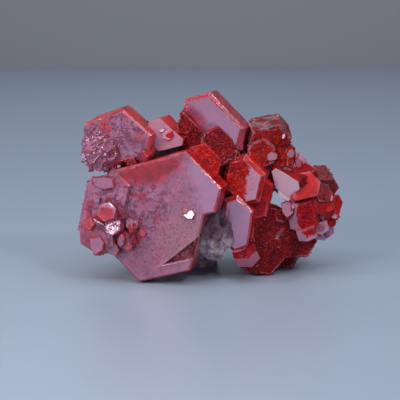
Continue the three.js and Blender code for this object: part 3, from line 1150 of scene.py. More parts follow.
@dataclass(frozen=True)
class Scatter:
    """Grains strewn over the parts of a piece that an attribute marks."""

    name: str
    shape: Shape
    marks: str  # the attribute that says where they grow
    per_square: float  # grains for each square millimetre that is fully marked
    widths: tuple[float, float]  # millimetres
    lean: float  # degrees
    seed: int
    settles: tuple[tuple[str, float, float], ...] = ()  # attributes that get a new random value

    FIRST_SEED, LEAN_SEED, SIZE_SEED = 40, 5, 7
    TALL = {Shape.PRISM: 0.8, Shape.PLATE: 0.28}  # heights, for a width of one
    TOP, BOTTOM = 0.4, 0.5  # radii, for a width of one
    SUNK, CRUMB_SUNK = 0.45, 0.1  # how deep grains stand, by their height, and crumbs, by their width

    def over(self, piece: bpy.types.Object, material: bpy.types.Material) -> None:
        """Strews the grains over a piece, and makes the result its plain mesh.

        Args:
            piece: the piece, which already has its material.
            material: the material of the grains and the piece.
        """
        modifier = piece.modifiers.new(self.name, "NODES")
        modifier.node_group = self._tree()
        values = {
            "Density": self.per_square / MM**2,
            "Smallest": self.widths[0] * MM,
            "Largest": self.widths[1] * MM,
            "Lean": math.radians(self.lean),
            "Seed": self.seed,
            "Material": material,
        }
        for item in modifier.node_group.interface.items_tree:
            if item.in_out == "INPUT" and item.name in values:
                modifier[item.identifier] = values[item.name]
        depsgraph = bpy.context.evaluated_depsgraph_get()
        before = piece.data
        whole = bpy.data.meshes.new_from_object(
            piece.evaluated_get(depsgraph), preserve_all_data_layers=True, depsgraph=depsgraph
        )
        piece.modifiers.clear()
        places = np.zeros(3 * len(whole.vertices), np.float32)
        whole.vertices.foreach_get("co", places)
        places[2::3] = np.maximum(places[2::3], 0)
        whole.vertices.foreach_set("co", places)
        piece.data = whole
        whole.name = piece.name
        bpy.data.meshes.remove(before)

    def _tree(self) -> bpy.types.NodeTree:
        """The node tree: points on the marked faces, a leaning grain on each, all made one mesh.

        Returns:
            The tree.
        """
        tree = bpy.data.node_groups.new(self.name, "GeometryNodeTree")
        sockets = {"Geometry": "Geometry", "Density": "Float", "Smallest": "Float", "Largest": "Float"}
        sockets |= {"Lean": "Float", "Seed": "Int", "Material": "Material"}
        for name, kind in sockets.items():
            tree.interface.new_socket(name, in_out="INPUT", socket_type=f"NodeSocket{kind}")
        tree.interface.new_socket("Geometry", in_out="OUTPUT", socket_type="NodeSocketGeometry")
        given = add(tree, "NodeGroupInput").outputs
        marks = add(tree, "GeometryNodeInputNamedAttribute", {"Name": self.marks}, data_type="FLOAT")
        density = worked(tree, "MULTIPLY", marks.outputs["Attribute"], given["Density"])
        strewn = {"Mesh": given["Geometry"], "Density": density, "Seed": given["Seed"]}
        strewn = add(tree, "GeometryNodeDistributePointsOnFaces", strewn).outputs
        points = strewn["Points"]
        for order, (attribute, low, high) in enumerate(self.settles):
            value = {2: low, 3: high, "Seed": self.FIRST_SEED + order}
            value = add(tree, "FunctionNodeRandomValue", value, data_type="FLOAT")
            told = {"Geometry": points, "Name": attribute, "Value": value.outputs[1]}
            stored = add(tree, "GeometryNodeStoreNamedAttribute", told, data_type="FLOAT", domain="POINT")
            points = stored.outputs["Geometry"]
        most = add(tree, "ShaderNodeCombineXYZ", {0: given["Lean"], 1: given["Lean"], 2: math.pi}).outputs[0]
        least = add(tree, "ShaderNodeVectorMath", {0: most, "Scale": -1.0}, operation="SCALE").outputs[0]
        lean = {0: least, 1: most, "Seed": self.LEAN_SEED}
        lean = add(tree, "FunctionNodeRandomValue", lean, data_type="FLOAT_VECTOR").outputs[0]
        turned = {"Rotation": strewn["Rotation"], "Rotate By": lean}
        turned = add(tree, "FunctionNodeRotateRotation", turned, rotation_space="LOCAL").outputs[0]
        size = {2: given["Smallest"], 3: given["Largest"], "Seed": self.SIZE_SEED}
        size = add(tree, "FunctionNodeRandomValue", size, data_type="FLOAT").outputs[1]
        placed = {"Points": points, "Instance": self._grain(tree), "Rotation": turned, "Scale": size}
        grains = add(tree, "GeometryNodeInstanceOnPoints", placed).outputs[0]
        together = add(tree, "GeometryNodeJoinGeometry", {0: grains})
        tree.links.new(given["Geometry"], together.inputs[0])
        plain = add(tree, "GeometryNodeRealizeInstances", {0: together.outputs[0]}).outputs[0]
        dressed = {"Geometry": plain, "Material": given["Material"]}
        dressed = add(tree, "GeometryNodeSetMaterial", dressed).outputs[0]
        add(tree, "NodeGroupOutput", {0: dressed})
        return tree

    def _grain(self, tree: bpy.types.NodeTree) -> bpy.types.NodeSocket:
        """One grain of unit width, sunk a little into the surface that it stands on.

        Args:
            tree: the node tree that it is made in.

        Returns:
            The output that gives the grain.
        """
        if self.shape is Shape.CRUMB:
            ball = {"Radius": self.BOTTOM, "Subdivisions": 1}
            grain = add(tree, "GeometryNodeMeshIcoSphere", ball).outputs["Mesh"]
            sunk = -self.CRUMB_SUNK
        else:
            tall = self.TALL[self.shape]
            cone = {"Vertices": 6, "Radius Top": self.TOP, "Radius Bottom": self.BOTTOM, "Depth": tall}
            grain = add(tree, "GeometryNodeMeshCone", cone).outputs["Mesh"]
            sunk = -self.SUNK * tall
        flat = {"Geometry": grain, "Shade Smooth": False}
        flat = add(tree, "GeometryNodeSetShadeSmooth", flat).outputs[0]
        placed = {"Geometry": flat, "Translation": (0.0, 0.0, sunk)}
        return add(tree, "GeometryNodeTransform", placed).outputs[0]


DRUSE = Scatter(
    "Druse", Shape.PRISM, "druse", 7.0, (0.12, 0.34), 24, 3, (("lustre_and_painted_sheen", 0.0, 0.05), ("druse", 0.1, 0.8))
)
ROSETTE = Scatter(
    name="Rosette_Plates",
    shape=Shape.PLATE,
    marks="scales",
    per_square=6.0,
    widths=(0.35, 0.95),
    lean=32,
    seed=4,
    settles=(("lustre_and_painted_sheen", 0.25, 0.9), ("seam_and_shade", 0.0, 0.3)),
)
CRUMBS = Scatter(
    "Crumbs", Shape.CRUMB, "crumb", 7.0, (0.14, 0.4), 60, 5, (("grain", 0.0, 1.0), ("crumb", 0.0, 1.0))
)


# ---------------------------------------------------------------------------------------- rock


@dataclass(frozen=True)
class Darkening:
    """How one side of the rock darkens with height."""

    strength: float
    streaky: float  # how much the streaks count
    climb: float  # how much the height counts
    level: float  # the height where it begins, as a share of the rock's
    low: float  # where it shows first
    high: float  # where it is full

    def at(self, streaks: np.ndarray, height: np.ndarray) -> np.ndarray:
        """How dark each point is, from 0 to 1."""
        reach = self.streaky * streaks + self.climb * (height - self.level)
        return self.strength * ramp(reach, self.low, self.high)


@dataclass(frozen=True)
class Rock:
    """The matrix: pale, crumbly rock, darker purple towards the top in upright streaks."""

    node: str = "matrix_rock"
    slot: str = "matrix_rock"

    SEEK, AROUND = 1.4, 1.5  # millimetres round the rock where its neighbours are looked for
    REACHES = (0.36, 0.6)  # millimetres from a neighbour where the rock stops reaching for it
    OVERLAP, SHRUNK = 0.12, 0.12  # how far it goes into a neighbour, and how far it is sunk elsewhere
    LUMPS, LEDGES, GRIT, WORN = 0.5, 0.35, 0.12, 0.3  # heights of its features, and how far it is worn
    TREADS = 2.2  # ledges for a hill of the pattern
    RESTS = 0.8  # millimetres above the ground where its full roughness starts
    BARE_FOOT = 0.4  # no crumbs below this
    FRONT = (1.0, 2.5)  # millimetres ahead of the middle where the front's darkening comes in
    FRONT_DARKENING = Darkening(0.85, 0.7, 5.0, 0.24, -0.1, 0.45)
    BACK_STAIN = Darkening(0.5, 0.8, 2.0, 0.5, 0.0, 0.6)
    STREAK = (1.0, 1.0, 0.35)  # squeezes the pattern of the darkening upright
    CRUMBLY, CRUMBS_MOST = Patches(1.1, 55, 3, 0.15, 0.35), 0.8  # where crumbs lie, and how thickly
    GRAINY = Patches(0.7, 56, 4, -0.4, 0.4)  # paler grain

    # Turns and squeezes the pattern of the broken ledges, so that they dip to the left.
    BEDDING = np.array([[0.9, 0.0, 0.5], [0.0, 1.0, 0.0], [-0.35, 0.0, 1.3]])

    def build(self, solids: dict[str, Solid], coarser: float) -> bpy.types.Object:
        """Makes the rock's finished mesh.

        Args:
            solids: all the CAD solids by name.
            coarser: how much wider than usual the mesh spacing is.

        Returns:
            The new object, in the scene, with its place in its mesh.
        """
        solid = solids[self.node]
        shell = bpy.data.meshes.new("rock_shell")
        shell.from_pydata(solid.corners.tolist(), [], solid.triangles.tolist())
        holder = new_object("rock_shell", shell)
        remesh = holder.modifiers.new("even", "REMESH")
        remesh.mode = "VOXEL"
        remesh.voxel_size = ROCK_VOXEL * coarser
        even = bpy.data.meshes.new_from_object(holder.evaluated_get(bpy.context.evaluated_depsgraph_get()))
        bpy.data.objects.remove(holder)
        work = bmesh.new()
        work.from_mesh(even)
        bmesh.ops.triangulate(work, faces=work.faces)
        work.to_mesh(even)
        work.free()
        points, normals = np.zeros(3 * len(even.vertices)), np.zeros(3 * len(even.vertices))
        triangles = np.zeros(3 * len(even.polygons), np.int32)
        even.vertices.foreach_get("co", points)
        even.vertices.foreach_get("normal", normals)
        even.loops.foreach_get("vertex_index", triangles)
        bpy.data.meshes.remove(even)
        points, normals = points.reshape(-1, 3), normals.reshape(-1, 3)
        moved, told = self._surface(points, normals, solids)
        return mesh_object("Matrix_Rock", moved, triangles.reshape(-1, 3), told)

    def _surface(
        self, points: np.ndarray, normals: np.ndarray, solids: dict[str, Solid]
    ) -> tuple[np.ndarray, dict[str, np.ndarray]]:
        """Roughens the open faces, and pushes those that meet a crystal up to it.

        Args:
            points: the rock's vertices.
            normals: their outward directions.
            solids: all the CAD solids by name.

        Returns:
            The moved vertices, and what they tell the material.
        """
        near = np.full(len(points), FAR)
        for other in (solid for name, solid in solids.items() if name != self.node):
            low, high = other.low - self.AROUND, other.high + self.AROUND
            for index in np.flatnonzero(np.all((points > low) & (points < high), axis=1)):
                distance = other.tree.find_nearest(Vector(points[index]), self.SEEK)[3]
                if distance is not None and distance < near[index]:
                    near[index] = distance
        meets = 1 - ramp(near, *self.REACHES)
        lumps = Pattern.clouds(points, 1.3, 51, 4)
        hills = Pattern.clouds(points @ self.BEDDING, 1.5, 58, 2)
        ledges = np.round(self.TREADS * hills) / self.TREADS
        grit = Pattern.clouds(points, 0.4, 57, 2)
        rough = self.LUMPS * lumps + self.LEDGES * ledges + self.GRIT * grit - self.WORN
        above = ramp(points[:, 2], 0.0, self.RESTS)
        height = meets * (CLOSE + self.OVERLAP) + (1 - meets) * above * (rough - self.SHRUNK)
        solid = solids[self.node]
        risen = (points[:, 2] - solid.low[2]) / (solid.high[2] - solid.low[2])
        streaks = Pattern.clouds(points * self.STREAK, 0.9, 54, 3)
        front = ramp(-points[:, 1], *self.FRONT)
        darkening = front * self.FRONT_DARKENING.at(streaks, risen) + (1 - front) * self.BACK_STAIN.at(streaks, risen)
        crumbs = self.CRUMBS_MOST * self.CRUMBLY.at(points) * (1 - darkening)
        told = {
            "darkening": darkening,
            "crumb": crumbs * (points[:, 2] > self.BARE_FOOT),
            "grain": self.GRAINY.at(points),
        }
        return points + height[:, None] * normals, told


# ----------------------------------------------------------------------------------- materials


@dataclass(frozen=True)
class VanadiniteFinish:
    """Vanadinite, lead chlorovanadate, as grown: deep red, adamantine and a little translucent.

    Its high refractive index makes clean faces mirror the room, which turns them lilac; that lilac
    is also painted into the base colour as a painted reflection. Thin edges pass light and glow
    orange-red, a glow that is painted into the colour too, and a crust of tiny crystals sparkles.
    """

    name: str
    body: int
    # Colour of the painted glow, where light would pass through.
    glow: int = 0xC8200F
    # Colour of the painted lilac reflection on clean faces.
    lustre_and_painted_sheen: int = 0xA884A2
    tan: int = 0xA87050
    # Colour of the dark seams and pits, and of painted shade.
    seam_and_shade: int = 0x580A32
    ior: float = 2.0
    clean_roughness: float = 0.13
    crust_roughness: float = 0.24
    scatter: float = 0.22
    scatter_depth: float = 0.5  # millimetres
    painted_sheen_share: float = 0.75  # how far clean faces are painted lilac, a painted reflection
    gloss: int = 0xEEE4FA  # what its faces do to the light they mirror
    sparkle: float = 1.0  # how far the tiny faces of a crust lean about

    ZONING = 1.6  # millimetres: colour zoning inside the crystals
    SPECK = 0.22  # millimetres: etching, drawn coarser than it is so that it shows
    FACE = 0.17  # millimetres: the tiny faces of a crust

    # A pair of pairs maps the first range to the second.
    DEPTH = ((0.35, 0.68), (0.5, 1.25))  # how the zoning lightens the body colour
    WARMTH = ((0.36, 0.6), (0.25, 1.0))  # how it shares out the glow
    FACE_TONE = ((0, 1), (0.62, 1.3))  # how the tiny faces differ
    ROUGHENING = ((0.3, 0.7), (-0.04, 0.08))  # how the etching changes the roughness
    ETCHING = ((0, 1), (0.5, 0.04))  # how strong its relief is, from a crust to a clean face
    ETCH_DEPTH = 0.04  # millimetres
    DULLER = 0.6  # how much rougher a dull face is
    FILM = 0.5  # the most that the brown film covers
    MARKED = 0.75  # how much the tiny faces count in the colour
    PITTED = 0.26  # how far pits turn the surface
    SCATTERED = (1.0, 0.1, 0.04)  # how far red, green and blue go, as shares of scatter_depth

    def build(self) -> bpy.types.Material:
        """Makes the material.

        Returns:
            The material.
        """
        material, tree = blank_material(self.name)
        told = attributes(tree, SURFACE)
        place = add(tree, "ShaderNodeTexCoord").outputs["Object"]
        zoning = {"Vector": place, "Scale": 1 / (self.ZONING * MM), "Detail": 5.0, "Roughness": 0.6}
        zones = add(tree, "ShaderNodeTexNoise", zoning).outputs["Fac"]
        etching = {"Vector": place, "Scale": 1 / (self.SPECK * MM), "Detail": 3.0}
        specks = add(tree, "ShaderNodeTexNoise", etching).outputs["Fac"]
        faces = add(tree, "ShaderNodeTexVoronoi", {"Vector": place, "Scale": 1 / (self.FACE * MM)})
        normal = self._normal(tree, told, specks, faces.outputs["Color"])
        chance = add(tree, "ShaderNodeSeparateColor", {0: faces.outputs["Color"]}).outputs[0]
        level = spread(tree, told["lustre_and_painted_sheen"], (0, 1), (self.crust_roughness, self.clean_roughness))
        level = worked(tree, "ADD", level, worked(tree, "MULTIPLY", told["dull"], self.DULLER))
        shader = {
            "Base Color": self._colour(tree, told, zones, chance),
            "Roughness": worked(tree, "ADD", level, spread(tree, specks, *self.ROUGHENING)),
            "IOR": self.ior,
            "Specular Tint": linear(self.gloss),
            "Normal": normal,
            "Subsurface Weight": self.scatter,
            "Subsurface Radius": self.SCATTERED,
            "Subsurface Scale": self.scatter_depth * MM,
        }
        finish_material(tree, shader)
        return material

    def _colour(self, tree: bpy.types.NodeTree, told: dict, zones: Any, chance: Any) -> Any:
        """The body colour with its zoning, painted glow, painted lilac reflection, brown film, grain, dark
        seams and painted shade.

        Args:
            tree: the material's node tree.
            told: the outputs that read the surface attributes.
            zones: the zoning's pattern.
            chance: a random number for each tiny face.

        Returns:
            The output that gives the colour.
        """
        shade = grey(tree, spread(tree, zones, *self.DEPTH))
        colour = mixed(tree, 1.0, linear(self.body), shade, "MULTIPLY")
        # Painted orange-red glow, where light would pass through.
        warm = worked(tree, "MULTIPLY", told["glow"], spread(tree, zones, *self.WARMTH))
        colour = mixed(tree, warm, colour, linear(self.glow))
        # Painted lilac reflection on clean faces.
        painted_sheen_share = worked(tree, "MULTIPLY", told["lustre_and_painted_sheen"], self.painted_sheen_share)
        colour = mixed(tree, painted_sheen_share, colour, linear(self.lustre_and_painted_sheen))
        film = worked(tree, "MULTIPLY", told["tan"], self.FILM)
        colour = mixed(tree, film, colour, linear(self.tan))
        patchy = worked(tree, "MAXIMUM", told["speckle"], told["druse"])
        toned = mixed(tree, 1.0, colour, grey(tree, spread(tree, chance, *self.FACE_TONE)), "MULTIPLY")
        colour = mixed(tree, worked(tree, "MULTIPLY", patchy, self.MARKED), colour, toned)
        # Dark seams and pits, and painted shade.
        return mixed(tree, told["seam_and_shade"], colour, linear(self.seam_and_shade))

    def _normal(self, tree: bpy.types.NodeTree, told: dict, specks: Any, lean: Any) -> Any:
        """The surface's direction: fine etching, and tiny faces that each lean their own way.

        Args:
            tree: the material's node tree.
            told: the outputs that read the surface attributes.
            specks: the etching's pattern.
            lean: a random direction for each tiny face.

        Returns:
            The output that gives the normal.
        """
        strength = spread(tree, told["lustre_and_painted_sheen"], *self.ETCHING)
        etched = {"Strength": strength, "Distance": self.ETCH_DEPTH * MM, "Height": specks}
        bump = add(tree, "ShaderNodeBump", etched).outputs["Normal"]
        crust = worked(tree, "MULTIPLY", told["druse"], self.sparkle)
        pitted = worked(tree, "MULTIPLY", told["speckle"], self.PITTED)
        amount = worked(tree, "MAXIMUM", crust, pitted)
        centred = add(tree, "ShaderNodeVectorMath", {0: lean, 1: (0.5, 0.5, 0.5)}, operation="SUBTRACT")
        turned = {0: centred.outputs[0], "Scale": amount}
        turned = add(tree, "ShaderNodeVectorMath", turned, operation="SCALE").outputs[0]
        whole = add(tree, "ShaderNodeVectorMath", {0: bump, 1: turned}, operation="ADD").outputs[0]
        return add(tree, "ShaderNodeVectorMath", {0: whole}, operation="NORMALIZE").outputs[0]


@dataclass(frozen=True)
class RockFinish:
    """Weathered limestone, broken and crumbly: dull grey-white with iron stains, darker purple towards the
    top.
    """

    name: str = "Weathered_Limestone"
    pale: int = 0xC6B8C4
    dull: int = 0x8C7688
    # Colour that the rock darkens to towards the top.
    darkening: int = 0x4A2038
    rust: int = 0x7A4A4A
    crumb: int = 0xD6CBA4

    BLOTCH, GRIT = 2.5, 0.25  # millimetres: rusty blotches and the grain of the surface
    RUSTY = ((0.54, 0.7), (0, 0.55))  # how the blotches' pattern becomes rust
    GRIT_DEPTH = 0.08  # millimetres

    def build(self) -> bpy.types.Material:
        """Makes the material.

        Returns:
            The material.
        """
        material, tree = blank_material(self.name)
        told = attributes(tree, ("darkening", "crumb", "grain"))
        place = add(tree, "ShaderNodeTexCoord").outputs["Object"]
        blotches = {"Vector": place, "Scale": 1 / (self.BLOTCH * MM), "Detail": 6.0}
        blotches = add(tree, "ShaderNodeTexNoise", blotches).outputs["Fac"]
        grit = {"Vector": place, "Scale": 1 / (self.GRIT * MM), "Detail": 4.0}
        grit = add(tree, "ShaderNodeTexNoise", grit).outputs["Fac"]
        rusty = spread(tree, blotches, *self.RUSTY)
        colour = mixed(tree, told["grain"], linear(self.dull), linear(self.pale))
        colour = mixed(tree, rusty, colour, linear(self.rust))
        colour = mixed(tree, told["crumb"], colour, linear(self.crumb))
        colour = mixed(tree, told["darkening"], colour, linear(self.darkening))
        rough = {"Strength": 0.7, "Distance": self.GRIT_DEPTH * MM, "Height": grit}
        bump = add(tree, "ShaderNodeBump", rough).outputs["Normal"]
        shader = {"Base Color": colour, "Roughness": 0.85, "Normal": bump}
        finish_material(tree, shader)
        return material


# --------------------------------------------------------------------------------------- studio


@dataclass(frozen=True)
class Lamp:
    """A soft square light that faces the specimen."""

    name: str
    turn: float  # degrees to the right of the front
    lean: float  # degrees above the horizon
    away: float  # millimetres
    size: tuple[float, float]
    brightness: float  # of its surface, where 1 shows as white
    colour: int
    only_specimen: bool = False

    def build(self, middle: np.ndarray, pieces: Sequence[bpy.types.Object]) -> None:
        """Hangs the light.

        Args:
            middle: the point that it faces.
            pieces: the pieces of the specimen.
        """
        data = bpy.data.lights.new(self.name, "AREA")
        data.shape = "RECTANGLE"
        data.size, data.size_y = self.size[0] * MM, self.size[1] * MM
        data.energy = self.brightness * math.pi * data.size * data.size_y
        data.color = linear(self.colour)[:3]
        lamp = new_object(self.name, data)
        out = Vector(direction(self.turn, self.lean))
        lamp.location = (Vector(middle) + out * self.away) * MM
        lamp.rotation_euler = (-out).to_track_quat("-Z", "Y").to_euler()
        lamp.visible_camera = False
        if self.only_specimen:
            lit = bpy.data.collections.new(f"{self.name}_lit")
            for piece in pieces:
                lit.objects.link(piece)
            lamp.light_linking.receiver_collection = lit


LAMPS = (
    Lamp("Front_Left_Card", -28, -3, 42, (56, 30), 0.6, 0xF0D8FA, only_specimen=True),
    Lamp("Key_Softbox", -42.7, 29.3, 190, (56, 56), 11.0, 0xFFFAF4),
    Lamp("Top_Softbox", 10, 82, 400, (400, 400), 2.2, 0xF2F2FF),
    Lamp("Left_Softbox", -95, 10, 200, (120, 120), 4.0, 0xF8F2FF, only_specimen=True),
    Lamp("Front_Fill", 24, 36, 300, (260, 260), 0.6, 0xFFF8FC, only_specimen=True),
    Lamp("Right_Sparkle", 38, 44, 200, (22, 22), 44.0, 0xFFFDFA),
    Lamp("Left_Sparkle", -70, 52, 200, (18, 18), 40.0, 0xFFFDFA),
    Lamp("Right_Fill", 58, 28, 260, (90, 120), 1.5, 0xFFF6F0),
    Lamp("Back_Fill", 190, 35, 300, (160, 110), 1.2, 0xF0F2FF),
)


class Studio:
    """The floor, the lights and the camera round the specimen."""

    LENS, SENSOR = 100.0, 36.0
    ELEVATION = 12.0
    AWAY_IN_WIDTHS = 4.22
    TARGET = (-0.0457, 0.019, 0.4)  # as shares of the specimen's width, depth and height
    SIDE, AHEAD, BEHIND, TALL = 1.2, 1.2, 0.31, 0.9  # metres: how far the floor and the card reach
    LAMPS_FACE = 10.0  # millimetres above the floor
    POLISH, POLISH_WIDE = (0.26, 0.36), 30  # the floor's roughness, and the width of its patches
    FLOOR, CARD, ROOM = 0xA2B1C2, 0xAAACAF, 0xA8B0C4
    ROOM_BRIGHTNESS = 0.2

    def __init__(self, low: Vector, high: Vector) -> None:
        """Keeps the specimen's box, in millimetres."""
        self.low, self.high = np.array(low) / MM, np.array(high) / MM

    def camera(self) -> None:
        """Makes the camera, a little above the specimen and in front of it."""
        size = self.high - self.low
        target = np.array(self.TARGET) * size
        data = bpy.data.cameras.new("Camera")
        data.lens, data.sensor_width = self.LENS, self.SENSOR
        data.clip_start, data.clip_end = 0.005, 20
        camera = new_object("Camera", data)
        out = Vector(direction(0, self.ELEVATION))
        camera.location = (Vector(target) + out * self.AWAY_IN_WIDTHS * size[0]) * MM
        camera.rotation_euler = (-out).to_track_quat("-Z", "Y").to_euler()
        bpy.context.scene.camera = camera

    def floor(self) -> None:
        """Makes the pale floor and the grey card that stands behind it."""
        side, ahead, behind, tall = self.SIDE, -self.AHEAD, self.BEHIND, self.TALL
        floor = self._sheet(
            "Floor", [(-side, ahead, 0), (side, ahead, 0), (side, behind, 0), (-side, behind, 0)]
        )
        wall = self._sheet(
            "Backdrop", [(-side, behind, 0), (side, behind, 0), (side, behind, tall), (-side, behind, tall)]
        )
        # Matt grey card, hung behind.
        card, tree = blank_material("Grey_Card")
        finish_material(tree, {"Base Color": linear(self.CARD), "Roughness": 0.9})
        wall.data.materials.append(card)
        # Satin acrylic sheet, rubbed a little unevenly.
        material, tree = blank_material("Satin_Acrylic_Sheet")
        place = add(tree, "ShaderNodeTexCoord").outputs["Object"]
        patches = {"Vector": place, "Scale": 1 / (self.POLISH_WIDE * MM), "Detail": 3.0}
        patches = add(tree, "ShaderNodeTexNoise", patches).outputs["Fac"]
        rough = spread(tree, patches, (0, 1), self.POLISH)
        satin = {"Base Color": linear(self.FLOOR), "Roughness": rough, "IOR": 1.45}
        finish_material(tree, satin)
        floor.data.materials.append(material)
        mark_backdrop(floor, wall)

    @staticmethod
    def _sheet(name: str, corners: Sequence[tuple[float, float, float]]) -> bpy.types.Object:
        """A flat four-cornered sheet, in metres.

        Args:
            name: the sheet's name.
            corners: its corners, in order.

        Returns:
            The new object.
        """
        mesh = bpy.data.meshes.new(name)
        mesh.from_pydata(corners, [], [tuple(range(len(corners)))])
        return new_object(name, mesh)

    def lights(self, pieces: Sequence[bpy.types.Object]) -> None:
        """Hangs the lights and sets the dim room round them.

        Args:
            pieces: the pieces of the specimen.
        """
        middle = (self.low + self.high) / 2
        middle[2] = self.LAMPS_FACE
        for lamp in LAMPS:
            lamp.build(middle, pieces)
        world = bpy.data.worlds.new("Room")
        world.use_nodes = True
        room = world.node_tree.nodes["Background"].inputs
        room["Color"].default_value, room["Strength"].default_value = linear(self.ROOM), self.ROOM_BRIGHTNESS
        bpy.context.scene.world = world
        bpy.context.scene.view_settings.view_transform = "Standard"


# ------------------------------------------------------------------------------------ specimen


PARALLEL = (-14.0, 2.0)  # turn and lean that the large plates share

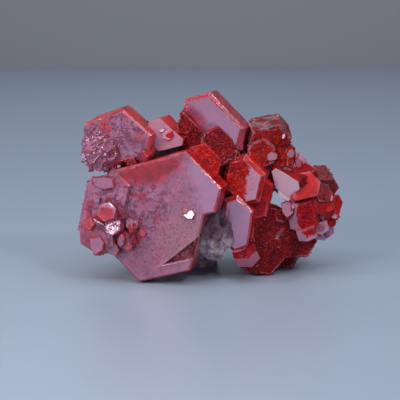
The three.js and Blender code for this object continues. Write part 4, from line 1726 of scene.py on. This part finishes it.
CRYSTALS = (
    Crystal(
        "large_left_plate",
        (PARALLEL, (-16, 2), (-26, 2), (-20, 22), (-12, 30), (-30, 8), (-6, 14)),
        "vanadinite_plate",
        zones=(
            Zone(SPECKLED, (0.52, 0.45), (5.6, 8.2), -18, 0.25),
            Zone(TAN, (0.72, 0.36), (4.2, 3.6), 0, 0.5, 0.8),
            Zone(ISLANDS, (0.28, 0.58), (6.4, 6.4), 0, 0.22),
            Zone(CRIMSON, (0.50, 0.88), (5.0, 2.5), 20, 0.35),
            Zone(RED, (0.03, 0.72), (0.7, 2.6), 0, 0.4, 0.8),
            Zone(RED, (0.10, 0.28), (2.2, 2.4), 0, 0.4, 0.8),
            Zone(replace(CRIMSON, glow=0.35), (0.20, 0.54), (1.3, 1.0), 0, 0.3),
            Zone(RED, (0.41, 0.34), (0.8, 0.7), 0, 0.4),
        ),
        recesses=(Recess(((0.57, 0.15), (0.79, 0.22), (0.82, 0.39)), 0.7),),
        small=(
            Small((-3.1, 10.0), 1.5, 0.7, -20, 22, 10, look=replace(CLEAN, speckle=0)),
            Small((-3.6, 10.6), 1.1, 0.4, -10, 8, 40, look=TAN),
            Small((-12.2, 6.4), 1.9, 2.2, -26, -4, 25, 0.6, PLAIN_PINK),
            Small((-11.3, 5.5), 1.5, 1.8, -10, 10, 5, 0.7, RED),
            Small((-9.6, 7.2), 1.2, 1.2, -2, 14, 0, look=RED),
            Small((-11.0, 8.0), 1.3, 1.0, -32, 8, 15, 0.8, RED),
            Small((-15.6, 5.6), 2.4, 1.8, -22, 8, 20, 1.2, PLAIN_PINK),
            Small((-13.6, 5.2), 2.0, 1.8, -12, -8, 50, 1.3, PLAIN_PINK),
            Small((-16.9, 8.4), 2.0, 1.6, -28, 6, 5, look=RED),
            Small((-14.9, 14.0), 2.2, 0.9, -18, 5, 30, 1.5, PLAIN_PINK),
            Small((-15.9, 11.8), 1.7, 0.9, -12, 0, 12, 0.7, PLAIN_PINK),
        ),
    ),
    Crystal(
        "lower_middle_plate",
        (PARALLEL,),
        "vanadinite_plate",
        zones=(Zone(SPECKLED, (0.12, 0.5), (0.9, 2.6)),),
    ),
    Crystal(
        "top_plate",
        (PARALLEL,),
        "vanadinite_plate",
        prism=replace(GLOWING, glow=0.45),
        zones=(
            Zone(CRUST, (0.19, 0.52), (1.9, 2.6), 30, 0.2),
            Zone(ISLANDS, (0.45, 0.42), (2.2, 0.9), -20, 0.4, 0.6),
        ),
    ),
    Crystal(
        "upper_left_plate",
        (PARALLEL, (-14, -5), (-34, -2), (-58, -16), (-8, -22), (-70, 18)),
        "vanadinite_plate",
        basal=replace(ISLANDS, islands=0.8),
        zones=(Zone(RED, (0.31, 0.70), (0.9, 1.2)), Zone(SCALES, (0.18, 0.27), (3.2, 3.2), 0, 0.15)),
        small=(
            Small((-7.7, 18.3), 1.6, 2.4, 4, -12, 20, look=RED),
            Small((-9.4, 17.5), 1.8, 2.6, -24, -14, 10, look=RED),
            Small((-11.2, 16.9), 1.5, 2.4, -8, -16, 45, look=CRUST),
        ),
    ),
    Crystal(
        "centre_plate",
        (PARALLEL,),
        "vanadinite_orange",
        zones=(Zone(ORANGE_CRUST, (-0.3, 0.6), (5.3, 7.0), 0, 0.07),),
    ),
    Crystal(
        "small_upper_plate",
        (PARALLEL, (-6, 26)),
        "vanadinite_orange",
        small=(
            Small((-6.9, 20.7), 0.75, 0.6, -20, 22, 20),
            Small((-5.9, 20.1), 1.0, 0.5, -8, 4, 0, look=RED),
        ),
    ),
    Crystal(
        "upper_right_block",
        ((2, -13), (10, 8), (-30, 8)),
        "vanadinite_dark",
        basal=ORANGE_CRUST,
        # Its prism faces get a little painted shade.
        prism=replace(ISLANDS, lustre_and_painted_sheen=0.12, shade=0.1),
        small=(
            Small((10.8, 17.5), 1.6, 1.0, 4, -6, 15, 0.7, PINK),
            Small((8.2, 17.0), 1.5, 0.7, -12, 8, 30, 1.3, PINK),
            Small((9.9, 19.9), 1.1, 0.5, -20, 24, 0, 0.5),
            Small((10.3, 18.9), 0.8, 1.0, -34, 12, 20, look=RED),
        ),
    ),
    Crystal("right_wedge_crystal", ((14, 24),), "vanadinite_orange", basal=RED),
    Crystal(
        "right_block",
        ((-66, 74), (-60, 70), (-30, 20)),
        "vanadinite_orange",
        prism=CLEAN,
        zones=(Zone(CRUST, (0.68, 0.52), (1.9, 2.9), 0, 0.08),),
        small=(Small((10.7, 9.7), 2.3, 1.6, -24, 8, 25, 1.1), Small((11.2, 10.3), 1.2, 1.0, 6, 26, 0, 0.6)),
    ),
    Crystal("right_leaning_plate", ((-38, -12), (-20, 10)), "vanadinite_dark", prism=CRIMSON),
    Crystal("far_right_upper_block", ((8, -13), (24, 30)), "vanadinite_dark", basal=DARK, prism=DARK),
    Crystal(
        "far_right_lower_block",
        ((20, 10), (42, 8), (10, -10)),
        "vanadinite_orange",
        basal=RED,
        small=(
            Small((17.3, 8.2), 1.0, 1.0, -20, 22, 10),
            Small((16.9, 10.8), 1.0, 1.2, -24, 26, 0, 0.5),
            Small((16.3, 9.4), 1.1, 1.4, 10, 20, 35, look=RED),
            Small((17.0, 7.2), 1.2, 1.2, 20, -6, 15, look=RED),
            Small((15.5, 8.3), 1.3, 1.2, -4, 8, 5, 0.7, PINK),
        ),
    ),
    Crystal("lower_right_plate", ((14, 4), (20, 4), (10, 20)), "vanadinite_dark", basal=CRUST, prism=RED),
    # The foot crystal's front is painted darker, as shade.
    Crystal("foot_crystal", ((-30, 52),), "vanadinite_orange", basal=SHADED_CRUST, prism=replace(CLEAN, lustre_and_painted_sheen=0.6)),
    Crystal("orange_plate", ((-10, 2),), "vanadinite_orange", basal=ORANGE_CRUST),
    Crystal("centre_back_plate", ((-8, 0),), "vanadinite_orange", basal=RED, prism=RED),
    Crystal("dark_middle_crystals", ((4, 12), PARALLEL), "vanadinite_dark", basal=CRUST, prism=RED),
    Crystal(
        "right_edge_crystals",
        ((10, 24), (16, 40), (-8, 30), (14, 16), (24, 44)),
        "vanadinite_orange",
        small=(
            Small((11.7, 17.3), 0.9, 0.9, -20, 22, 25),
            Small((12.0, 16.0), 1.4, 1.0, -4, 4, 10, 0.8, PINK),
            Small((13.6, 14.9), 1.3, 1.0, -18, 16, 40, 0.6, RED),
            Small((11.9, 16.9), 0.9, 0.8, -24, 28, 0, 0.5),
            Small((13.0, 15.8), 1.0, 1.2, 16, 10, 30, look=RED),
        ),
    ),
    Crystal(
        "lower_right_edge_crystals",
        ((-4, 24), (12, -10), (34, 6)),
        "vanadinite_plate",
        small=(
            Small((15.1, 6.8), 1.1, 0.8, -10, 8, 20, 1.5, PINK),
            Small((16.4, 5.7), 1.1, 0.8, 0, 2, 40, 0.7, PINK),
        ),
    ),
    Crystal("back_foot_crystal", ((16, 8),), "vanadinite_dark", basal=CRUST, prism=DARK),
    Crystal("back_left_plate", ((196, 6), (220, 10)), "vanadinite_plate", back=ISLANDS),
    Crystal("back_top_plate", ((172, 22),), "vanadinite_plate", back=ISLANDS),
    Crystal("back_right_plate", ((160, 8), (146, 30)), "vanadinite_dark", back=CRUST),
    Crystal("back_low_plate", ((188, -4),), "vanadinite_orange", back=ORANGE_CRUST),
    Crystal("back_lower_right_plate", ((166, -8),), "vanadinite_plate"),
    Crystal("left_side_plate", ((-84, 8), (-112, -6)), "vanadinite_plate", basal=ISLANDS),
    Crystal("back_upper_left_crystal", ((196, 34),), "vanadinite_orange"),
    Crystal("back_far_right_block", ((150, 12), (120, 4)), "vanadinite_dark", back=CRUST),
)

FINISHES = {
    "vanadinite_plate": VanadiniteFinish("Vanadinite_Plate", 0x9C0A24),
    "vanadinite_orange": VanadiniteFinish(
        "Vanadinite_Orange", 0xB40A18, ior=1.55, lustre_and_painted_sheen=0xC094AC, painted_sheen_share=0.85, seam_and_shade=0x3A0410, gloss=0xF0A4AC
    ),
    "vanadinite_dark": VanadiniteFinish(
        name="Vanadinite_Dark",
        body=0x7C0410,
        ior=1.5,
        lustre_and_painted_sheen=0xE0BCCE,
        scatter=0.15,
        painted_sheen_share=0.92,
        seam_and_shade=0x30040C,
        gloss=0xF0A4AC,
    ),
}


def triangle_count(piece: bpy.types.Object) -> int:
    """How many triangles a piece's faces make."""
    return len(piece.data.loops) - 2 * len(piece.data.polygons)


def main() -> None:
    """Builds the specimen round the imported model, then the studio."""
    logging.basicConfig(level=logging.INFO, format="%(name)s: %(message)s")
    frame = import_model()
    low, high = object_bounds()
    studio = Studio(low, high)
    studio.camera()
    coarser = 1.0
    solids = {name: Solid(name, node) for name, node in frame["nodes"].items()}
    materials = {slot: finish.build() for slot, finish in FINISHES.items()}
    pieces = []
    for crystal in CRYSTALS:
        piece = crystal.build(solids, coarser)
        piece.data.materials.append(materials[crystal.slot])
        DRUSE.over(piece, materials[crystal.slot])
        if any(zone.look.scales for zone in crystal.zones):
            ROSETTE.over(piece, materials[crystal.slot])
        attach(piece, "root")
        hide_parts(crystal.node)
        pieces.append(piece)
        LOG.info("%s: %d triangles", piece.name, triangle_count(piece))
    rock = Rock()
    matrix = rock.build(solids, coarser)
    limestone = RockFinish().build()
    matrix.data.materials.append(limestone)
    CRUMBS.over(matrix, limestone)
    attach(matrix, "root")
    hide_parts(rock.node)
    pieces.append(matrix)
    LOG.info("%s: %d triangles", matrix.name, triangle_count(matrix))
    studio.floor()
    studio.lights(pieces)
    LOG.info("all pieces: %d triangles", sum(triangle_count(piece) for piece in pieces))


if __name__ == "__main__":
    main()
